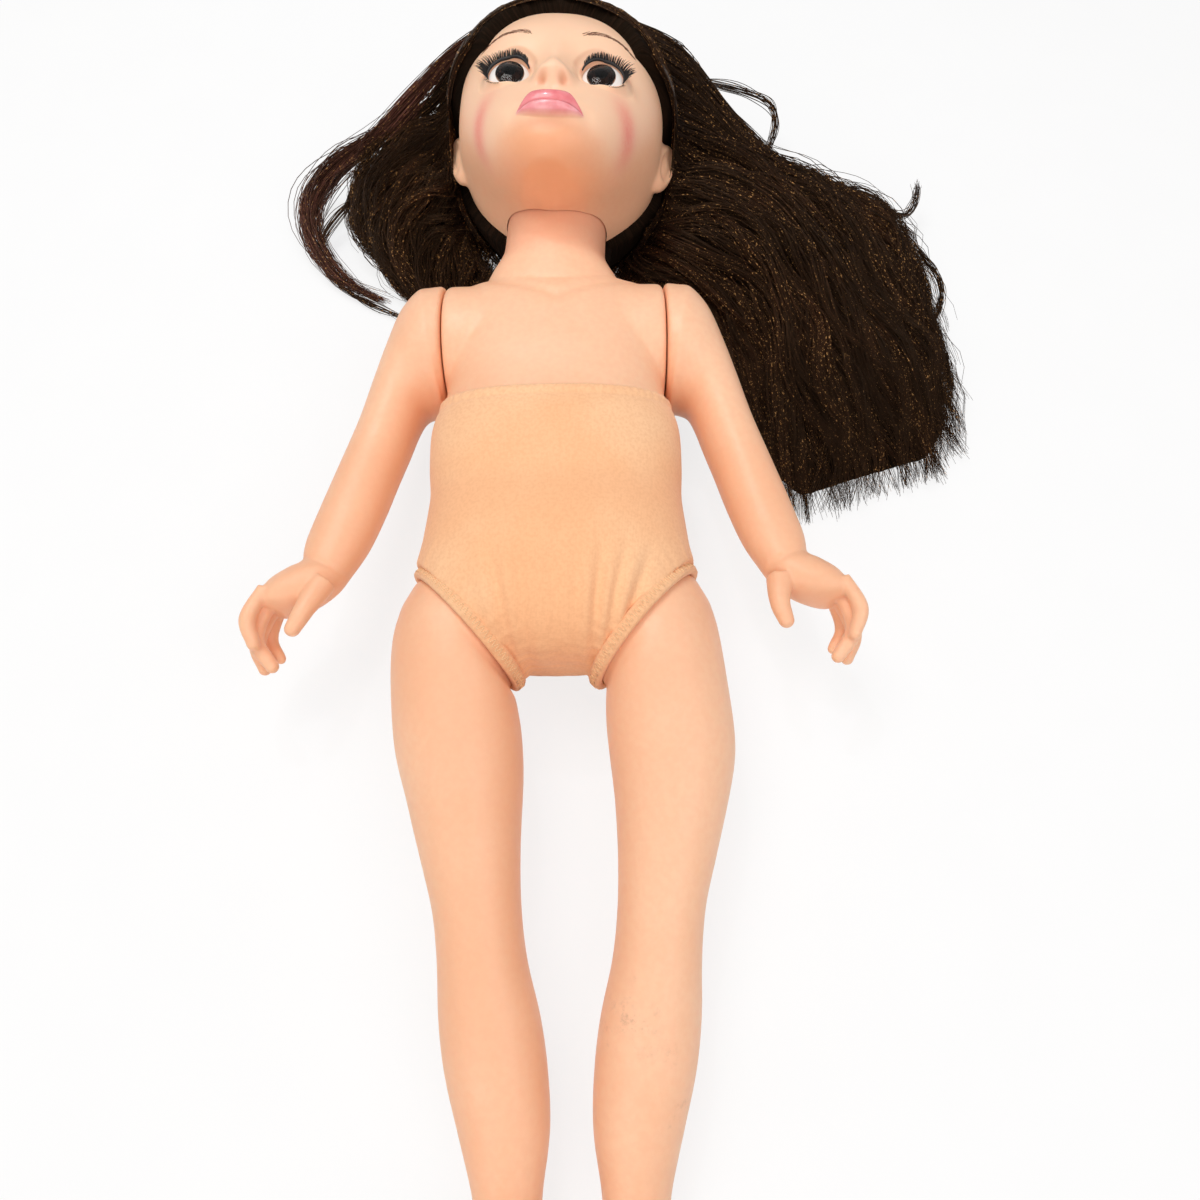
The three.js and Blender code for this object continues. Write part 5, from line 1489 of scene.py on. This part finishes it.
def hair_side(name, locks, material, start, end, lock_count, each, seed,
              spread=2.9, wave=4.6, stray=(), layers=True):
    """One side's loose strands: wavy locks of fine strands over the guides, with frizz and stray locks."""
    chance = np.random.default_rng(seed)
    steps = STRAND_STEPS
    guides = guide_lines(locks, steps)
    t = np.linspace(0, 1, steps)[None]
    u = (np.arange(lock_count) + chance.uniform(0.1, 0.9, lock_count)) / lock_count
    chance.shuffle(u)
    middle = between(guides, u)
    layer = 1 - 0.8 * chance.uniform(0, 1, lock_count) ** 1.6 if layers else np.full(lock_count, 0.8)
    out = step(t, 0.25, 0.5)[..., None]
    low = middle.copy()
    low[..., 2] = middle[..., 2] * (0.25 + 0.75 * layer[:, None])
    middle = middle * (1 - out) + low * out
    cycles = chance.uniform(3, 4.6, (lock_count, 1))
    turn = 2 * np.pi * (t * cycles + u[:, None] * 3 + chance.uniform(0, 0.3, (lock_count, 1)))
    along = np.gradient(middle, axis=1)
    side = np.cross(along, (0, 0, 1.0))
    side /= np.linalg.norm(side, axis=2)[..., None] + 1e-6
    swing = wave * step(t, 0.25, 0.6) * np.sin(turn) * chance.uniform(0.4, 1.4, (lock_count, 1))
    middle += side * swing[..., None]
    middle[..., 2] += 0.35 * wave * step(t[0], 0.3, 0.6) * np.cos(turn) * layer[:, None]
    middle += drift(chance, lock_count, steps, 6, 1.3) * step(t, 0.15, 0.5)[..., None]
    lines = np.repeat(middle, each, axis=0)
    count = len(lines)
    offset = chance.normal(size=(count, 1, 3)) * (0.55, 0.55, 0.4)
    width = spread * (0.35 + 0.65 * step(t, 0.05, 0.4)) * (1 - 0.35 * t)
    lines += offset * width[..., None]
    lines += drift(chance, count, steps, 9, 0.55) * step(t, 0.05, 0.3)[..., None]
    frizzy = chance.uniform(0, 1, count) < FRIZZY_SHARE
    lines[frizzy] += drift(chance, frizzy.sum(), steps, 7, 2.2) * step(t, 0.15, 0.6)[..., None]
    shade = np.repeat(chance.uniform(0, 1, lock_count), each) * 0.6 + chance.uniform(0, 0.4, count)
    cut = 1.03 - 0.22 * chance.uniform(0, 1, count) ** 1.6
    frame_at = np.clip(t * cut[:, None], 0, 1) * (steps - 1)
    first = np.minimum(frame_at.astype(int), steps - 2)
    part = (frame_at - first)[..., None]
    rows = np.arange(count)[:, None]
    lines = lines[rows, first] * (1 - part) + lines[rows, first + 1] * part
    for path in stray:
        line = smooth_rows(path, 5)
        at = t[0] * (len(line) - 1)
        even = np.column_stack([np.interp(at, np.arange(len(line)), line[:, k]) for k in range(3)])
        bunch = np.repeat(even[None], STRAY_STRANDS, axis=0)
        bunch += chance.normal(size=(STRAY_STRANDS, 1, 3)) * (0.7, 0.7, 0.5) * (1 - 0.3 * t[..., None])
        bunch += drift(chance, STRAY_STRANDS, steps, 6, 0.7)
        lines = np.concatenate([lines, bunch])
        shade = np.concatenate([shade, chance.uniform(0.2, 0.9, STRAY_STRANDS)])
    lines = on_head(clear_of_scalp(off_head(lines), HAIR_CLEAR))
    lines[..., 2] = np.maximum(lines[..., 2], HAIR_FLOOR)
    thick = chance.uniform(0.13, 0.2, (len(lines), 1))
    radii = thick * (1 - 0.6 * step(t, 0.75, 1.0))
    made = strands(name, lines, radii, material, 3, shade)
    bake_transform(made)


def clear_of_scalp(local, margin):
    """Strand points of the head's frame moved out of the head where they would pass through it."""
    x, up, ahead = local[..., 0], local[..., 1], local[..., 2] - HEAD_MIDDLE_Z
    levels, halves, backs, fronts = np.array(HEAD_LEVELS).T
    half = np.interp(up, levels, halves)
    deep = np.where(ahead > 0, np.interp(up, levels, fronts) - HEAD_MIDDLE_Z,
                    HEAD_MIDDLE_Z - np.interp(up, levels, backs))
    power = CLEAR_SQUARENESS
    share = (np.abs(x) / (half + margin)) ** power + (np.abs(ahead) / (deep + margin)) ** power
    share = share ** (1 / power)
    push = np.where((share < 1) & (up > -10) & (up < 84), 1 / np.maximum(share, 0.3), 1)
    return np.stack([x * push, up, HEAD_MIDDLE_Z + ahead * push], -1)


def hair_crown(material):
    """The strands that lie close over the crown and the back of the head."""
    chance = np.random.default_rng(77)
    count, steps = CROWN_STRANDS, 18
    t = np.linspace(0, 1, steps)
    lines = []
    for k in range(count):
        mirror = 1 if k % 2 else -1
        start = chance.uniform(0, 1)
        end_turn = chance.uniform(-0.5, 1.15)
        begin = np.array((mirror * 1.5, 79 - 14 * start ** 2, 30 - 44 * start))
        low = 8 - 14 * chance.uniform(0, 1)
        end = np.array((mirror * 44 * math.cos(end_turn), low, 6 - 38 * math.sin(max(end_turn, 0.15))))
        pull = begin[None] * (1 - t[:, None]) + end[None] * t[:, None] - SCALP_MIDDLE
        pull /= np.linalg.norm(pull / CROWN_RADII, axis=1)[:, None]
        lines.append(SCALP_MIDDLE + pull)
    lines = np.array(lines) + drift(chance, count, steps, 6, 0.6)
    lines = clear_of_scalp(lines, chance.uniform(5, 7, (count, 1)))
    bare = hairless(*np.moveaxis(lines, -1, 0))
    lines = lines[bare[:, :-2].max(1) < 0.5]
    radii = np.full((len(lines), steps), 0.19) * (1 - 0.5 * t[None] ** 3)
    made = strands("hair_crown", lines, radii, material, 3, chance.uniform(0, 1, len(lines)))
    to_head(made)


def hairline(material):
    """The strands that frame the face: down along its hairline from the parting, then back over the ears."""
    chance = np.random.default_rng(78)
    count, steps = HAIRLINE_STRANDS, 22
    levels, halves, _, fronts = np.array(HEAD_LEVELS).T
    lines = []
    for k in range(count):
        mirror = 1 if k % 2 else -1
        half = FACE_HALF[k % 2]
        out = chance.uniform(1.05, 1.45)
        turn = np.linspace(math.radians(88), math.asin((0.68 / out) ** (FACE_ARCH / 2)), 9)
        up = FACE_FOOT + FACE_HEIGHT * out * np.sin(turn) ** (2 / FACE_ARCH)
        wide = np.interp(up, levels, halves)
        x = np.minimum(half * out * np.cos(turn) ** (2 / FACE_ARCH), wide * 0.995)
        deep = np.interp(up, levels, fronts) - HEAD_MIDDLE_Z
        z = HEAD_MIDDLE_Z + deep * (1 - (x / wide) ** HEAD_SQUARENESS) ** (1 / HEAD_SQUARENESS)
        tail = HAIRLINE_TAIL + chance.normal(size=(3, 3)) * (0, 1.6, 1.6)
        line = np.vstack([np.column_stack([x, up, z]), tail])
        lines.append(evenly(smooth_rows(line, 3), steps) * (mirror, 1, 1))
    lines = np.array(lines) + drift(chance, count, steps, 7, 0.45)
    lines = clear_of_scalp(lines, chance.uniform(4.4, 6.4, (count, 1)))
    t = np.linspace(0, 1, steps)
    radii = np.full((count, steps), 0.17) * (1 - 0.5 * t[None] ** 3)
    made = strands("hair_line", lines, radii, material, 3, chance.uniform(0, 1, count))
    to_head(made)


def hair(fibre, mass, loose):
    scalp(mass)
    hair_crown(fibre)
    hairline(fibre)
    left = ((0.085, 0.19, 0.03), (0.046, 0.19, 0.03))
    right = ((-0.085, 0.19, 0.03), (-0.046, 0.19, 0.03))
    left_nodes = ["hair_left_upper", "hair_left_middle", "hair_left_lower"]
    hair_body("hair_left_body", LEFT_LOCKS, *left, mass, left_nodes)
    hair_body("hair_right_body", RIGHT_LOCKS, *right, mass, ["hair_right_upper", "hair_right_lower"])
    hair_side("hair_left_strands", LEFT_LOCKS, fibre, *left, 210, 20, 5, stray=STRAY_LEFT)
    hair_side("hair_right_strands", RIGHT_LOCKS, fibre, *right, 110, 20, 6, 2.4, 3.2, stray=STRAY_RIGHT)
    hair_side("hair_right_loop", LOOSE_LOOP, loose, *right, 14, 16, 7, 2.2, 1.0, layers=False)


# The whole doll
camera()
studio()
SKIN_VINYL = vinyl("vinyl_skin")
PLATE_VINYL = vinyl("vinyl_plate", neck_shadow_paint)
LEG_VINYL = vinyl("vinyl_leg", scuffs)
FACE_VINYL = vinyl("vinyl_face", face_paint)
CLOTH = cloth("cloth_skin")
HEM_CLOTH = cloth("cloth_hem", 0.97)
THREAD = thread("sewing_thread", linear(252, 208, 158))
HARD_PLASTIC = plain("hard_plastic", linear(228, 224, 214), 0.4)
CORD = thread("tie_cord", linear(233, 223, 207))
LASH = plain("lash_bristle", linear(20, 14, 12), 0.45)
BROW = plain("brow_paint", linear(122, 82, 58), 0.6)
EYE_GLAZE = eye_glaze()
EYE_GLASS = lens_glass()
HAIR_FIBRE = hair_fibre("hair_fibre", linear(13, 8, 7), linear(76, 46, 30))
HAIR_LOOSE = hair_fibre("hair_loose_fibre", linear(46, 24, 20), linear(146, 92, 82))
HAIR_MASS = hair_mass()

shoulder_plate(PLATE_VINYL)
torso_cloth(CLOTH)
for name, mirror in SIDES:
    arm(name, mirror, SKIN_VINYL)
    leg(name, mirror, LEG_VINYL)
    hem(name, mirror, HEM_CLOTH, THREAD)
face_tree = head(FACE_VINYL)
for name, mirror in SIDES:
    eye(name, mirror, EYE_GLAZE, EYE_GLASS)
    lashes(name, mirror, LASH, face_tree)
    brows(name, mirror, BROW, face_tree)
hair(HAIR_FIBRE, HAIR_MASS, HAIR_LOOSE)

for name, node in NODES.items():
    if not node.hide_render:
        node.data.materials.clear()
        node.data.materials.append(CORD if "tie" in name else HARD_PLASTIC)
